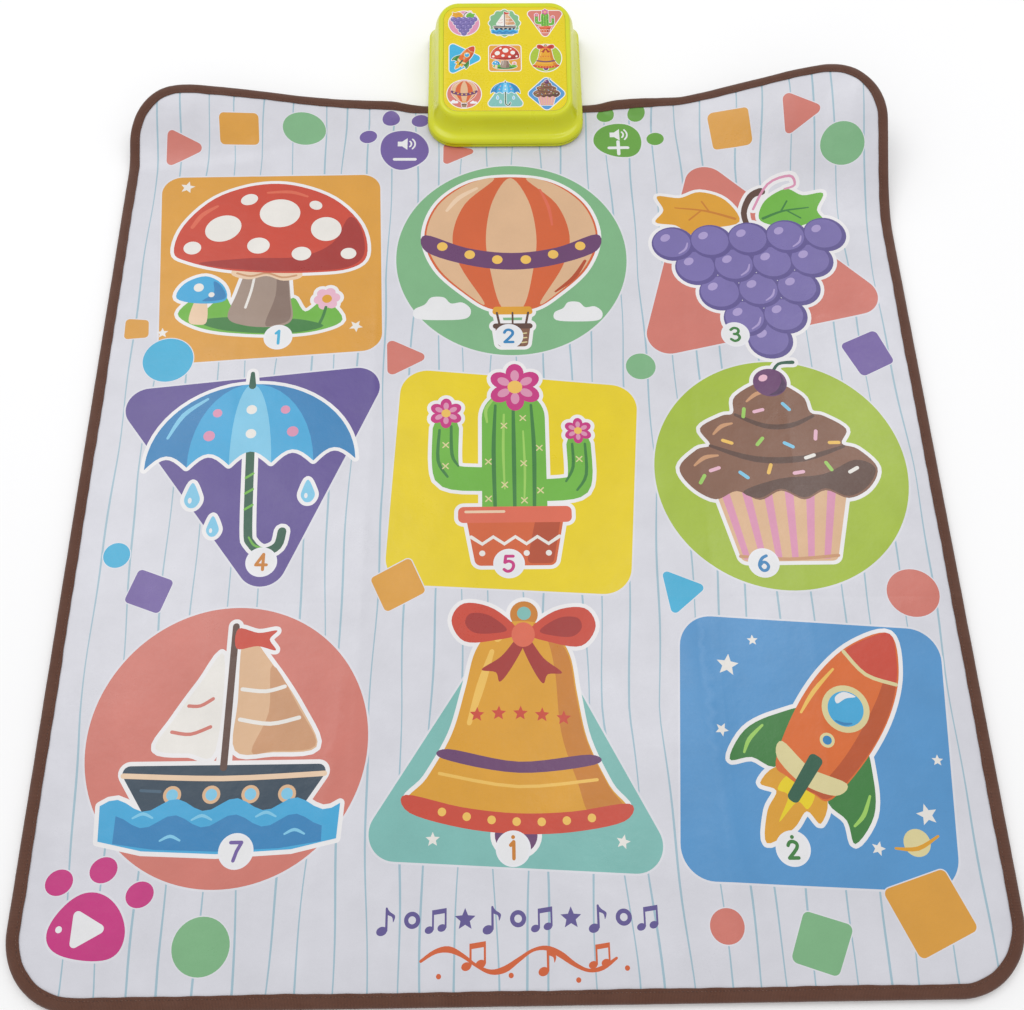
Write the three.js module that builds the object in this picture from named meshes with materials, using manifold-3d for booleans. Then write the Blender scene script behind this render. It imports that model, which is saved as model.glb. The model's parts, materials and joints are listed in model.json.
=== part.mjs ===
// Electronic dance mat: a soft laminated play mat with nine large touch zones,
// three paw shaped touch keys and a battery powered control box on its far edge.
// Units are millimetres, +Z is up, +Y points to the control box, +X is the
// player's right. The origin is the middle of the mat, on the floor.
import * as THREE from 'three';
import { mergeVertices } from 'three/addons/utils/BufferGeometryUtils.js';
import Module from 'manifold-3d';

const wasm = await Module();
wasm.setup();

// ---------------------------------------------------------------- dimensions
const MAT_W = 800;            // across, X
const MAT_L = 900;            // along, Y
const CORNER_R = 60;          // plan radius of the mat's corners
const GAP = 0.3;              // clearance between laid layers
const Z_GRIP = [0, 0.7];      // non slip backing
const Z_LFILM = [1.0, 1.25];  // lower contact film
const Z_FOAM = [1.55, 4.05];  // foam spacer
const Z_UFILM = [4.35, 4.6];  // upper contact film
const Z_COVER = [4.9, 5.6];   // printed vinyl cover
const Z_BIND = [0, 6.6];      // woven tape, wrapped round the edge
const BIND_W = 11;            // visible width of the tape
const BIND_T = 0.7;           // thickness of its two lips
const BIND_WALL = 1.5;        // thickness of its outer wall
const FOLD_Y = -122.5;        // storage fold, between the second and third row
const FOLD_GAP = 0.4;         // cover, backing and tape stop this far from the fold line
const CORE_GAP = 3;           // films and foam stop short of it, so that the fold stays soft
const ZONE_GAP = 0.5;         // clearance round a touch zone
const ZONE_Z = [3.2, 5.6];    // a touch zone's own laminate
const ZONE_TRAVEL = 1.6;      // how far a zone goes down before it makes contact

// the far edge doesn't lie flat: it lifts beside the control box and curls up
// towards both corners. Each column is X, height at the edge, depth of the curl
const BEND = [
  [[88, 0, 0], [102, 1.5, 15], [118, 7, 22], [140, 9.5, 25], [165, 10, 34], [190, 11, 50], [215, 18, 70],
    [245, 28.5, 95], [275, 38.5, 120], [305, 49, 145], [335, 56.5, 165], [365, 58, 172], [400, 55, 176]],
  [[-88, 0, 0], [-104, 2.5, 18], [-122, 7.5, 26], [-155, 8.8, 32], [-185, 10.8, 45], [-220, 15.3, 65],
    [-260, 22.7, 80], [-300, 29, 85], [-330, 33, 87.5], [-365, 33.5, 89], [-400, 30, 91]],
];
const BEND_ROWS = 8;          // rows of facets in the curl

// control box
const BOX_HX = 84;            // half width at the foot
const BOX_Y0 = 391;           // front of the foot, on the mat
const BOX_Y1 = 559;           // back of the foot, behind the mat
const BOX_RF = 32;            // front corner radius of the foot
const BOX_RR = 14;            // rear corner radius of the foot
const TRAY_Z_FRONT = 7.0;     // underside over the mat
const TRAY_Z_REAR = 1.8;      // underside behind the mat
const PART_Z = 10;            // parting line
const TOP_Z0 = 34.5;          // height of the sloped top at its front edge
const TOP_Z1 = 57;            // and at its rear edge
const TOP_Y0 = 410;
const TOP_Y1 = 545;
const TOP_HX = 68.5;
const WALL = 2.4;
const SLOPE = (TOP_Z1 - TOP_Z0) / (TOP_Y1 - TOP_Y0);
const TILT = Math.atan(SLOPE);
const LABEL = [66, 64.5];     // half width and half length of the label recess
const LABEL_D = 0.9;          // depth of the recess
const CELL = 43;              // pitch of the nine indicator windows

// ---------------------------------------------------------------- helpers
const strip = (g) => {
  const c = g.clone();
  for (const k of Object.keys(c.attributes)) if (k !== 'position') c.deleteAttribute(k);
  return mergeVertices(c, 1e-4);
};
const solid = (g) => {
  const m = strip(g);
  return new wasm.Manifold(new wasm.Mesh({
    numProp: 3,
    vertProperties: new Float32Array(m.attributes.position.array),
    triVerts: new Uint32Array(m.index.array),
  }));
};
const toGeometry = (s) => {
  const m = s.getMesh();
  const g = new THREE.BufferGeometry();
  const n = m.numProp;
  const pos = new Float32Array((m.vertProperties.length / n) * 3);
  for (let i = 0; i < pos.length / 3; i++) {
    for (let k = 0; k < 3; k++) pos[3 * i + k] = m.vertProperties[n * i + k];
  }
  g.setAttribute('position', new THREE.BufferAttribute(pos, 3));
  g.setIndex(new THREE.BufferAttribute(new Uint32Array(m.triVerts), 1));
  g.computeVertexNormals();
  return g;
};
const cut = (a, ...bs) => bs.reduce((s, b) => s.subtract(b), a);
const join = (a, ...bs) => bs.reduce((s, b) => s.add(b), a);

const shapeOf = (pts, holes = []) => {
  const s = new THREE.Shape(pts.map(([x, y]) => new THREE.Vector2(x, y)));
  for (const h of holes) s.holes.push(new THREE.Path(h.map(([x, y]) => new THREE.Vector2(x, y))));
  return s;
};
const prism = (pts, z0, z1, holes = []) => {
  const g = new THREE.ExtrudeGeometry(shapeOf(pts, holes), { depth: z1 - z0, bevelEnabled: false, steps: 1 });
  g.translate(0, 0, z0);
  return g;
};
const boxG = (x0, x1, y0, y1, z0, z1) => {
  const g = new THREE.BoxGeometry(x1 - x0, y1 - y0, z1 - z0);
  g.translate((x0 + x1) / 2, (y0 + y1) / 2, (z0 + z1) / 2);
  return g;
};
const cyl = (r, z0, z1, x = 0, y = 0, n = 16) => {
  const g = new THREE.CylinderGeometry(r, r, z1 - z0, n);
  g.rotateX(Math.PI / 2);
  g.translate(x, y, (z0 + z1) / 2);
  return g;
};
const lathe = (pts, n = 20) => {   // profile [r, z], revolved about Z
  const g = new THREE.LatheGeometry(pts.map(([r, z]) => new THREE.Vector2(r, z)), n);
  g.rotateX(Math.PI / 2);
  return g;
};
// polygon with rounded corners, counter clockwise
const rounded = (corners, r, seg = 4) => {
  const out = [];
  const n = corners.length;
  for (let i = 0; i < n; i++) {
    const p = new THREE.Vector2(...corners[i]);
    const a = new THREE.Vector2(...corners[(i + n - 1) % n]).sub(p).normalize();
    const b = new THREE.Vector2(...corners[(i + 1) % n]).sub(p).normalize();
    const half = Math.acos(THREE.MathUtils.clamp(a.dot(b), -1, 1)) / 2;
    const rr = Array.isArray(r) ? r[i] : r;
    const c = a.clone().add(b).normalize().multiplyScalar(rr / Math.sin(half)).add(p);
    const t = rr / Math.tan(half);
    const s = a.clone().multiplyScalar(t).add(p).sub(c);
    const e = b.clone().multiplyScalar(t).add(p).sub(c);
    let a0 = Math.atan2(s.y, s.x);
    let a1 = Math.atan2(e.y, e.x);
    if (a1 < a0) a1 += 2 * Math.PI;
    for (let k = 0; k <= seg; k++) {
      const q = a0 + ((a1 - a0) * k) / seg;
      out.push([c.x + rr * Math.cos(q), c.y + rr * Math.sin(q)]);
    }
  }
  return out;
};
const circle = (x, y, rx, ry = rx, n = 32) => Array.from({ length: n }, (_, i) => {
  const q = (2 * Math.PI * i) / n;
  return [x + rx * Math.cos(q), y + ry * Math.sin(q)];
});
// move every point of a counter clockwise outline outwards
const offset = (pts, d) => pts.map((p, i) => {
  const n = pts.length;
  const a = pts[(i + n - 1) % n];
  const b = pts[(i + 1) % n];
  const e0 = new THREE.Vector2(p[0] - a[0], p[1] - a[1]).normalize();
  const e1 = new THREE.Vector2(b[0] - p[0], b[1] - p[1]).normalize();
  const n0 = new THREE.Vector2(e0.y, -e0.x);
  const n1 = new THREE.Vector2(e1.y, -e1.x);
  const m = n0.clone().add(n1).normalize();
  const k = d / Math.max(0.5, m.dot(n0));
  return [p[0] + m.x * k, p[1] + m.y * k];
});
// an outline eased once, so that it has no hard corners
const smooth = (pts) => pts.map((p, i) => {
  const a = pts[(i + pts.length - 1) % pts.length];
  const b = pts[(i + 1) % pts.length];
  return [0.5 * p[0] + 0.25 * (a[0] + b[0]), 0.5 * p[1] + 0.25 * (a[1] + b[1])];
});

// the curl is one net of triangles, and every layer takes its heights from it, so
// that the layers stay parallel: node j of a column is at height * (j / rows)^2
const node = (col, j) => {
  const t = j / BEND_ROWS;
  return [col[0], MAT_L / 2 - col[2] * (1 - t), col[1] * t * t * (3 - 2 * t)];
};
const NET = BEND.map((cols) => cols.slice(1).map((b, i) => {
  const a = cols[i];
  return Array.from({ length: BEND_ROWS }, (_, j) => [
    [node(a, j), node(b, j), node(b, j + 1)],
    [node(a, j), node(b, j + 1), node(a, j + 1)],
  ]);
}));
const area2 = (a, b, c) => (b[0] - a[0]) * (c[1] - a[1]) - (c[0] - a[0]) * (b[1] - a[1]);
// column and row of the net at a place, or null where the mat lies flat
const cellAt = (x, y) => {
  const side = x > 0 ? 0 : 1;
  const cols = BEND[side];
  if (Math.abs(x) <= Math.abs(cols[0][0])) return null;
  let i = 0;
  while (i < cols.length - 2 && Math.abs(x) > Math.abs(cols[i + 1][0])) i++;
  const s = (x - cols[i][0]) / (cols[i + 1][0] - cols[i][0]);
  const depth = cols[i][2] + (cols[i + 1][2] - cols[i][2]) * s;
  const t = depth > 1e-6 ? (y - MAT_L / 2 + depth) / depth : -1;
  if (t <= 0) return null;
  return { side, i, j: Math.min(BEND_ROWS - 1, Math.floor(t * BEND_ROWS)) };
};
const lift = (x, y) => {
  const c = cellAt(x, y);
  if (!c) return 0;
  const [lower, upper] = NET[c.side][c.i][c.j];
  const turn = c.side === 0 ? 1 : -1;
  const p = turn * area2(lower[0], lower[2], [x, y]) <= 0 || Math.abs(area2(...upper)) < 1e-9 ? lower : upper;
  const full = area2(...p);
  const u = area2([x, y], p[1], p[2]) / full;
  const v = area2(p[0], [x, y], p[2]) / full;
  return u * p[0][2] + v * p[1][2] + (1 - u - v) * p[2][2];
};
// points that coincide get one index
const welder = () => {
  const seen = new Map();
  const pts = [];
  return {
    pts,
    at: (x, y, z) => {
      const [a, b, c] = [x, y, z].map((v) => Math.round(v * 50));
      for (let i = -1; i < 2; i++) for (let j = -1; j < 2; j++) for (let k = -1; k < 2; k++) {
        const m = seen.get(`${a + i}_${b + j}_${c + k}`);
        if (m !== undefined && Math.hypot(pts[3 * m] - x, pts[3 * m + 1] - y, pts[3 * m + 2] - z) < 0.01) return m;
      }
      seen.set(`${a}_${b}_${c}`, pts.length / 3);
      pts.push(x, y, z);
      return pts.length / 3 - 1;
    },
  };
};
// a laid sheet with a convex outline: the flat field, which has the holes, and the
// triangles of the net as far as they are inside the outline
const clipTo = (poly, outline) => {
  let out = poly;
  outline.forEach((a, i) => {
    const b = outline[(i + 1) % outline.length];
    const src = out;
    out = [];
    src.forEach((p, k) => {
      const q = src[(k + 1) % src.length];
      const [dp, dq] = [area2(a, b, p), area2(a, b, q)];
      if (dp >= 0) out.push(p);
      if ((dp > 0 && dq < 0) || (dp < 0 && dq > 0)) {
        const t = dp / (dp - dq);
        out.push([p[0] + (q[0] - p[0]) * t, p[1] + (q[1] - p[1]) * t]);
      }
    });
  });
  return out.filter((p, i) => Math.hypot(p[0] - out[(i + 1) % out.length][0], p[1] - out[(i + 1) % out.length][1]) > 0.02);
};
const sheet = (outline, z0, z1, holes = []) => {
  const hx = Math.max(...outline.map((p) => p[0]));
  const hy = Math.max(...outline.map((p) => p[1]));
  const far = hy > 0;
  let ring = outline;
  if (far) {
    const start = outline.filter((p) => p[1] < FOLD_Y + 10);
    const border = BEND.map((cols) => {
      const line = cols.map((c) => node(c, 0).slice(0, 2));
      const k = line.findIndex((p) => p[1] < hy);
      const [p, q] = [line[k - 1], line[k]];
      const t = (p[1] - hy) / (p[1] - q[1]);
      const [r, e] = [line[line.length - 2], line[line.length - 1]];
      const u = (hx - Math.abs(r[0])) / (Math.abs(e[0]) - Math.abs(r[0]));
      return [[p[0] + (q[0] - p[0]) * t, hy], ...line.slice(k, -1), [Math.sign(e[0]) * hx, r[1] + (e[1] - r[1]) * u]];
    });
    ring = [...start, ...border[0].reverse(), ...border[1]];
  }
  const w = welder();
  const faces = [];
  const vert = ([x, y]) => w.at(x, y, 0);
  const cw = holes.map((h) => [...h].reverse());
  const all = ring.concat(...cw);
  THREE.ShapeUtils.triangulateShape(ring.map((p) => new THREE.Vector2(...p)), cw.map((h) => h.map((p) => new THREE.Vector2(...p))))
    .forEach((f) => faces.push(f.map((i) => vert(all[i]))));
  if (far) {
    NET.flat(3).forEach((t) => {
      const p = area2(...t) > 0 ? t : [t[0], t[2], t[1]];
      if (Math.abs(area2(...t)) < 1e-6) return;
      const c = clipTo(p.map((q) => q.slice(0, 2)), outline);
      for (let i = 1; i + 1 < c.length; i++) faces.push([vert(c[0]), vert(c[i]), vert(c[i + 1])]);
    });
  }
  const good = faces.filter(([a, b, c]) => a !== b && b !== c && c !== a);
  const n = w.pts.length / 3;
  const pos = new Float32Array(6 * n);
  for (let i = 0; i < n; i++) {
    const [x, y] = [w.pts[3 * i], w.pts[3 * i + 1]];
    const up = far ? lift(x, y) : 0;
    pos.set([x, y, z1 + up], 3 * i);
    pos.set([x, y, z0 + up], 3 * (n + i));
  }
  const idx = [];
  const edges = new Set();
  good.forEach((f) => f.forEach((a, i) => edges.add(`${a}_${f[(i + 1) % 3]}`)));
  good.forEach(([a, b, c]) => idx.push(a, b, c, n + c, n + b, n + a));
  good.forEach((f) => f.forEach((a, i) => {
    const b = f[(i + 1) % 3];
    if (!edges.has(`${b}_${a}`)) idx.push(n + a, n + b, b, n + a, b, a);
  }));
  const g = new THREE.BufferGeometry();
  g.setAttribute('position', new THREE.BufferAttribute(pos, 3));
  g.setIndex(idx);
  g.computeVertexNormals();
  return g;
};
// a strip of constant section laid along an open path: each station is a place on
// the mat's edge with its outward normal, and the section picks insets and heights
const channel = (stations, section) => {
  const m = section.length;
  const n = stations.length;
  const pos = [];
  for (const [x, y, nx, ny] of stations) {
    for (const [w, z] of section) {
      const [px, py] = [x - nx * w, y - ny * w];
      pos.push(px, py, z + lift(px, py));
    }
  }
  const idx = [];
  for (let i = 0; i + 1 < n; i++) {
    for (let k = 0; k < m; k++) {
      const a = i * m + k, b = i * m + ((k + 1) % m), c = a + m, d = b + m;
      idx.push(a, b, d, a, d, c);
    }
  }
  const faces = THREE.ShapeUtils.triangulateShape(section.map(([w, z]) => new THREE.Vector2(w, z)), []);
  faces.forEach(([a, b, c]) => {
    idx.push(c, b, a);
    idx.push((n - 1) * m + a, (n - 1) * m + b, (n - 1) * m + c);
  });
  const g = new THREE.BufferGeometry();
  g.setAttribute('position', new THREE.BufferAttribute(new Float32Array(pos), 3));
  g.setIndex(idx);
  return g;
};
// stations round one panel, counter clockwise from one end of the fold to the other
const edgeStations = (side) => {
  const hx = MAT_W / 2;
  const hy = MAT_L / 2;
  const out = [];
  const arc = (cx, cy, from, n) => {
    for (let k = 0; k <= n; k++) {
      const q = from + (Math.PI / 2) * (k / n);
      out.push([cx + CORNER_R * Math.cos(q), cy + CORNER_R * Math.sin(q), Math.cos(q), Math.sin(q)]);
    }
  };
  const [ax, ay] = [hx - CORNER_R, hy - CORNER_R];
  if (side < 0) {
    out.push([-hx, FOLD_Y - FOLD_GAP, -1, 0]);
    arc(-ax, -ay, Math.PI, 6);
    arc(ax, -ay, -Math.PI / 2, 6);
    out.push([hx, FOLD_Y - FOLD_GAP, 1, 0]);
    return out;
  }
  const [right, left] = BEND.map((cols) => Array.from({ length: 2 * BEND_ROWS }, (_, k) => node(cols[cols.length - 1], k / 2)[1])
    .filter((y) => y < ay - 2));
  out.push([hx, FOLD_Y + FOLD_GAP, 1, 0], ...right.map((y) => [hx, y, 1, 0]));
  arc(ax, ay, 0, 16);
  const stops = BEND.map((cols) => cols.slice(1).filter(([x]) => Math.abs(x) < ax).flatMap(([x], i) => {
    const from = cols[i][0];
    const n = Math.ceil(Math.abs(x - from) / (Math.abs(x) < 125 ? 2.5 : 7));
    return Array.from({ length: n }, (_, k) => from + ((x - from) * (k + (i ? 1 : 0))) / (i ? n : n - 1));
  }));
  [...stops[0].reverse(), ...stops[1]].forEach((x) => out.push([x, hy, 0, 1]));
  arc(-ax, ay, Math.PI / 2, 16);
  out.push(...left.reverse().map((y) => [-hx, y, -1, 0]), [-hx, FOLD_Y + FOLD_GAP, -1, 0]);
  return out;
};

const object = new THREE.Group();
object.name = 'dance_mat';
const group = (name, parent = object) => {
  const g = new THREE.Group();
  g.name = name;
  parent.add(g);
  return g;
};
const piece = (parent, name, geometry, color, roughness, metalness = 0) => {
  const g = geometry instanceof THREE.BufferGeometry ? geometry : toGeometry(geometry);
  const m = new THREE.Mesh(g, new THREE.MeshStandardMaterial({ color, roughness, metalness }));
  m.name = name;
  parent.add(m);
  return m;
};

// ---------------------------------------------------------------- mat outline
// one panel of the mat: the part of the rounded rectangle on one side of the fold
const panel = (inset, side, gap = FOLD_GAP, seg = 6) => {
  const hx = MAT_W / 2 - inset;
  const hy = MAT_L / 2 - inset;
  const r = CORNER_R - inset;
  const y = side > 0 ? FOLD_Y + gap : FOLD_Y - gap;
  const corners = side > 0
    ? [[-hx, y], [hx, y], [hx, hy], [-hx, hy]]
    : [[-hx, -hy], [hx, -hy], [hx, y], [-hx, y]];
  const out = [];
  corners.forEach((c, i) => {
    const sharp = side > 0 ? i < 2 : i > 1;
    if (sharp) { out.push(c); return; }
    const sx = Math.sign(c[0]);
    const sy = Math.sign(c[1]);
    const cx = c[0] - sx * r;
    const cy = c[1] - sy * r;
    const start = { '1,-1': -Math.PI / 2, '1,1': 0, '-1,1': Math.PI / 2, '-1,-1': Math.PI }[`${sx},${sy}`];
    for (let k = 0; k <= seg; k++) {
      const q = start + ((Math.PI / 2) * k) / seg;
      out.push([cx + r * Math.cos(q), cy + r * Math.sin(q)]);
    }
  });
  return out;
};

// ---------------------------------------------------------------- touch zones
const ZONES = {
  pad_1: { side: 1, color: 0xe0a03c, pts: rounded([[-341, 122.5], [-124, 137.5], [-133.5, 354.5], [-363, 352]], 20, 4) },
  pad_2: { side: 1, color: 0x76b982, pts: circle(4, 247.5, 117.5) },
  pad_3: { side: 1, color: 0xd88073, pts: rounded([[127, 122.5], [393, 184], [200, 383]], 22, 5) },
  pad_4: { side: 1, color: 0x69589b, pts: rounded([[-385, 92], [-219, -129], [-112, 121]], 22, 5) },
  pad_5: { side: 1, color: 0xe8d432, pts: rounded([[-115, -106], [104.5, -119.5], [123.5, 93], [-104, 116]], 26, 4) },
  pad_6: { side: 1, color: 0xa5c846, pts: circle(252, 1.6, 118.3) },
  pad_7: { side: -1, color: 0xd88073, pts: circle(-240.8, -244.6, 117.6) },
  pad_8: { side: -1, color: 0x7dbeb2, pts: rounded([[-136.5, -340.5], [133, -357], [8.5, -112]], 22, 5) },
  pad_9: { side: -1, color: 0x5f9bd2, pts: rounded([[130, -360], [353, -373], [373, -155], [146.5, -138]], 28, 4) },
  volume_down_key: { side: 1, color: 0x69589b, pts: smooth([[-131, 406], [-135, 395], [-135, 381], [-129, 370], [-119, 361], [-110, 359], [-100, 364], [-90, 369], [-83, 378], [-81, 389], [-86, 403], [-95, 412], [-109, 416], [-124, 413]]) },
  volume_up_key: { side: 1, color: 0x5fae46, pts: smooth([[101, 416], [95, 407], [92, 394], [101, 385], [111, 378], [123, 376], [135, 375], [144, 382], [148, 397], [145, 412], [136, 421], [123, 424], [110, 421]]) },
  game_key: { side: -1, color: 0xc83c87, pts: smooth([[-343, -362], [-352, -367], [-359, -374], [-365, -382], [-369, -391], [-368, -398], [-364, -405], [-356, -409], [-345, -412], [-329, -414], [-317, -413], [-311, -409], [-307, -402], [-306, -392], [-309, -383], [-315, -373], [-323, -366], [-333, -362]]) },
};
const zoneHoles = (side, extra = []) => Object.values(ZONES)
  .filter((z) => z.side === side).map((z) => offset(z.pts, ZONE_GAP)).concat(extra);

// clamp screws go through the layers under the control box
const CLAMP_X = [-58, 0, 58];
const CLAMP_Y = 404;
const clampHoles = (r) => CLAMP_X.map((x) => circle(x, CLAMP_Y, r, r, 10));
const TAIL_Y = 424;
const TAIL_HX = 26;
const tailSlot = [[-TAIL_HX - 1, TAIL_Y - 1.5], [TAIL_HX + 1, TAIL_Y - 1.5], [TAIL_HX + 1, TAIL_Y + 1.5], [-TAIL_HX - 1, TAIL_Y + 1.5]];

// ---------------------------------------------------------------- mat layers
const rear = group('rear_panel');
const front = group('front_panel');
const CUT_IN = BIND_WALL + GAP;       // layers stop just inside the tape's wall
const LIP_IN = BIND_W + GAP;          // the backing stops inside the tape's lip
const PLATE = [[-75, 395], [75, 395], [75, 432], [-75, 432]];
for (const [side, where, tag] of [[1, rear, 'rear'], [-1, front, 'front']]) {
  const holes = side > 0 ? clampHoles(2.0) : [];
  piece(where, `grip_base_${tag}`,
    sheet(panel(LIP_IN, side), ...Z_GRIP, side > 0 ? [offset(PLATE, GAP)] : []), 0x8b8f94, 0.95);
  piece(where, `lower_contact_film_${tag}`, sheet(panel(CUT_IN, side, CORE_GAP), ...Z_LFILM, holes), 0xd9dde0, 0.35);
  piece(where, `foam_spacer_${tag}`, sheet(panel(CUT_IN, side, CORE_GAP), ...Z_FOAM, zoneHoles(side, holes)), 0xf2f2ee, 0.95);
  piece(where, `upper_contact_film_${tag}`, sheet(panel(CUT_IN, side, CORE_GAP), ...Z_UFILM, zoneHoles(side, holes)), 0xd9dde0, 0.35);
  piece(where, `printed_cover_${tag}`,
    sheet(panel(CUT_IN, side), ...Z_COVER, zoneHoles(side, side > 0 ? holes.concat([tailSlot]) : [])), 0xd9dbe3, 0.35);
  // woven tape folded over the edge: a channel that is open inwards
  const tape = channel(edgeStations(side), [
    [0, Z_BIND[0]], [4, Z_BIND[0]], [7, Z_BIND[0]], [BIND_W, Z_BIND[0]],
    [BIND_W, BIND_T], [7, BIND_T], [4, BIND_T], [BIND_WALL, BIND_T],
    [BIND_WALL, Z_BIND[1] - BIND_T], [4, Z_BIND[1] - BIND_T], [7, Z_BIND[1] - BIND_T], [BIND_W, Z_BIND[1] - BIND_T],
    [BIND_W, Z_BIND[1]], [7, Z_BIND[1]], [4, Z_BIND[1]], [0, Z_BIND[1]]]);
  piece(where, `edge_binding_${tag}`, tape, 0x6b5048, 0.9);
}
for (const [name, z] of Object.entries(ZONES)) {
  piece(z.side > 0 ? rear : front, name, prism(z.pts, ...ZONE_Z), z.color, 0.4);
}

// ---------------------------------------------------------------- clamp and film tail
const clamp = group('mat_clamp');
piece(clamp, 'mat_clamp_plate', prism(PLATE, ...Z_GRIP, CLAMP_X.map((x) => circle(x, CLAMP_Y, 1.9, 1.9, 10))), 0xb8bcc0, 0.35, 1);
CLAMP_X.forEach((x, i) => {
  const g = lathe([[0, 0.1], [1.5, 0.1], [1.5, 9.3], [3, 9.3], [3, 10.6], [2.2, 11.3], [0, 11.3]], 12);
  const m = piece(clamp, `clamp_screw_${i + 1}`, g, 0xc0c4c8, 0.3, 1);
  m.position.set(x, CLAMP_Y, 0);
});

// ---------------------------------------------------------------- control box
const box = group('control_box');
const plan = (hx, y0, y1, rf, rr, seg = 6) =>
  rounded([[-hx, y0], [hx, y0], [hx, y1], [-hx, y1]], [rf, rf, rr, rr], seg);
// a closed body through outlines that all have the same number of points
const loft = (rings) => {
  const n = rings[0].length;
  const pos = [];
  rings.forEach((r) => r.forEach((p) => pos.push(...p)));
  const idx = [];
  for (let k = 0; k + 1 < rings.length; k++) {
    for (let i = 0; i < n; i++) {
      const a = k * n + i, b = k * n + ((i + 1) % n), c = a + n, d = b + n;
      idx.push(a, b, d, a, d, c);
    }
  }
  const cap = (ring, base, flip) => {
    const faces = THREE.ShapeUtils.triangulateShape(ring.map((p) => new THREE.Vector2(p[0], p[1])), []);
    faces.forEach(([a, b, c]) => (flip ? idx.push(base + c, base + b, base + a) : idx.push(base + a, base + b, base + c)));
  };
  cap(rings[0], 0, true);
  cap(rings[rings.length - 1], (rings.length - 1) * n, false);
  const g = new THREE.BufferGeometry();
  g.setAttribute('position', new THREE.BufferAttribute(new Float32Array(pos), 3));
  g.setIndex(idx);
  return g;
};
const flat = (pts, z) => pts.map(([x, y]) => [x, y, z]);
const sloped = (pts, z) => pts.map(([x, y]) => [x, y, z + SLOPE * (y - TOP_Y0)]);

const shellOuter = solid(loft([
  flat(plan(84, BOX_Y0, BOX_Y1, BOX_RF, BOX_RR), PART_Z),
  flat(plan(83.2, 391.8, 558.2, 31.5, 13.8), 12.5),
  flat(plan(81, 394.2, 557, 30, 14), 15),
  flat(plan(76.5, 399.5, 554.5, 27, 18), 17),
  sloped(plan(74.6, 402.6, 551.6, 25, 20), 21),
  sloped(plan(71.6, 407, 548.2, 23, 22), TOP_Z0 - 2.6),
  sloped(plan(70.4, 408.3, 546.9, 22, 21), TOP_Z0 - 0.8),
  sloped(plan(TOP_HX, TOP_Y0, TOP_Y1, 20.5, 19.5), TOP_Z0),
]));
const shellInner = solid(loft([
  flat(plan(84 - WALL, BOX_Y0 + WALL, BOX_Y1 - WALL, 29.6, 11.6), PART_Z - 1),
  flat(plan(78.8, 396.6, 554.8, 27.8, 11.8), 13),
  flat(plan(74.2, 402, 552.2, 24.8, 16), 15.5),
  sloped(plan(72, 405.2, 549.2, 23, 18), 20),
  sloped(plan(69.2, 409.4, 545.8, 21, 20), TOP_Z0 - 3.2),
]));
// frame of the sloped top: origin at its middle, local z is its normal
const TOP_C = new THREE.Vector3(0, (TOP_Y0 + TOP_Y1) / 2, (TOP_Z0 + TOP_Z1) / 2);
const onTop = (g) => { g.rotateX(TILT); g.translate(TOP_C.x, TOP_C.y, TOP_C.z); return g; };
const labelPts = (d) => rounded([[-LABEL[0] + d, -LABEL[1] + d], [LABEL[0] - d, -LABEL[1] + d], [LABEL[0] - d, LABEL[1] - d], [-LABEL[0] + d, LABEL[1] - d]], 16 - d, 4);
const cells = [];
for (const r of [1, 0, -1]) for (const c of [-1, 0, 1]) cells.push([c * CELL, r * CELL]);
const windows = cells.map(([x, y]) => solid(onTop(boxG(x - 14, x + 14, y - 14, y + 14, -8, 4))));

// screw towers hang from the top, the tray's posts meet them
const CASE = [[-68, 464], [68, 464], [-66, 541], [66, 541]];
const topAt = (y) => TOP_Z0 + SLOPE * (y - TOP_Y0);
const tower = (x, y) => solid(cyl(3.6, 15, topAt(y) - 2.6, x, y, 12)).intersect(shellOuter);
const pilot = (x, y) => solid(cyl(1.7, 14, 30, x, y, 10));
const SWITCH = { x: 46, z: 30, hx: 8.5, hz: 3.2 };
let upper = cut(shellOuter, shellInner);
upper = cut(upper, solid(onTop(prism(labelPts(0), -LABEL_D, 4))), ...windows);
upper = join(upper, ...CASE.map(([x, y]) => tower(x, y)));
upper = cut(upper, ...CASE.map(([x, y]) => pilot(x, y)));
upper = cut(upper, solid(boxG(SWITCH.x - SWITCH.hx, SWITCH.x + SWITCH.hx, 540, 562, SWITCH.z - SWITCH.hz, SWITCH.z + SWITCH.hz)));
piece(box, 'upper_housing', upper, 0xc9cc1e, 0.4);

const label = onTop(prism(labelPts(0.3), -LABEL_D + 0.3, 0.2));
piece(box, 'indicator_label', label, 0xebd700, 0.3);

// light baffle: nine cells between the shell and the board
const baffleHoles = cells.map(([x, y]) => {
  const h = 15.5;
  return [[x - h, y - h], [x + h, y - h], [x + h, y + h], [x - h, y + h]];
});
const BH = 1.5 * CELL - 4.5;
const baffle = cut(solid(onTop(boxG(-BH, BH, -BH, BH, -8.6, -3.6))),
  ...baffleHoles.map((h) => solid(onTop(boxG(h[0][0], h[2][0], h[0][1], h[2][1], -12, 0)))));
piece(box, 'light_baffle', baffle, 0xf4f4f4, 0.6);

// control board with nine indicator lamps, a sound chip and the film socket
const BZ = -10.6;
let board = solid(onTop(prism([[-58, -56], [58, -56], [58, 56], [-58, 56]], BZ, BZ + 1.6)));
board = join(board,
  ...cells.map(([x, y]) => solid(onTop(boxG(x - 1.8, x + 1.8, y - 1.8, y + 1.8, BZ + 1, BZ + 4.2)))),
  solid(onTop(boxG(-12, 12, 8, 30, BZ - 2, BZ + 1))),
  solid(onTop(boxG(30, 44, -16, -4, BZ - 4, BZ + 1))));
piece(box, 'control_board', board, 0x2f7a4a, 0.5);

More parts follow.
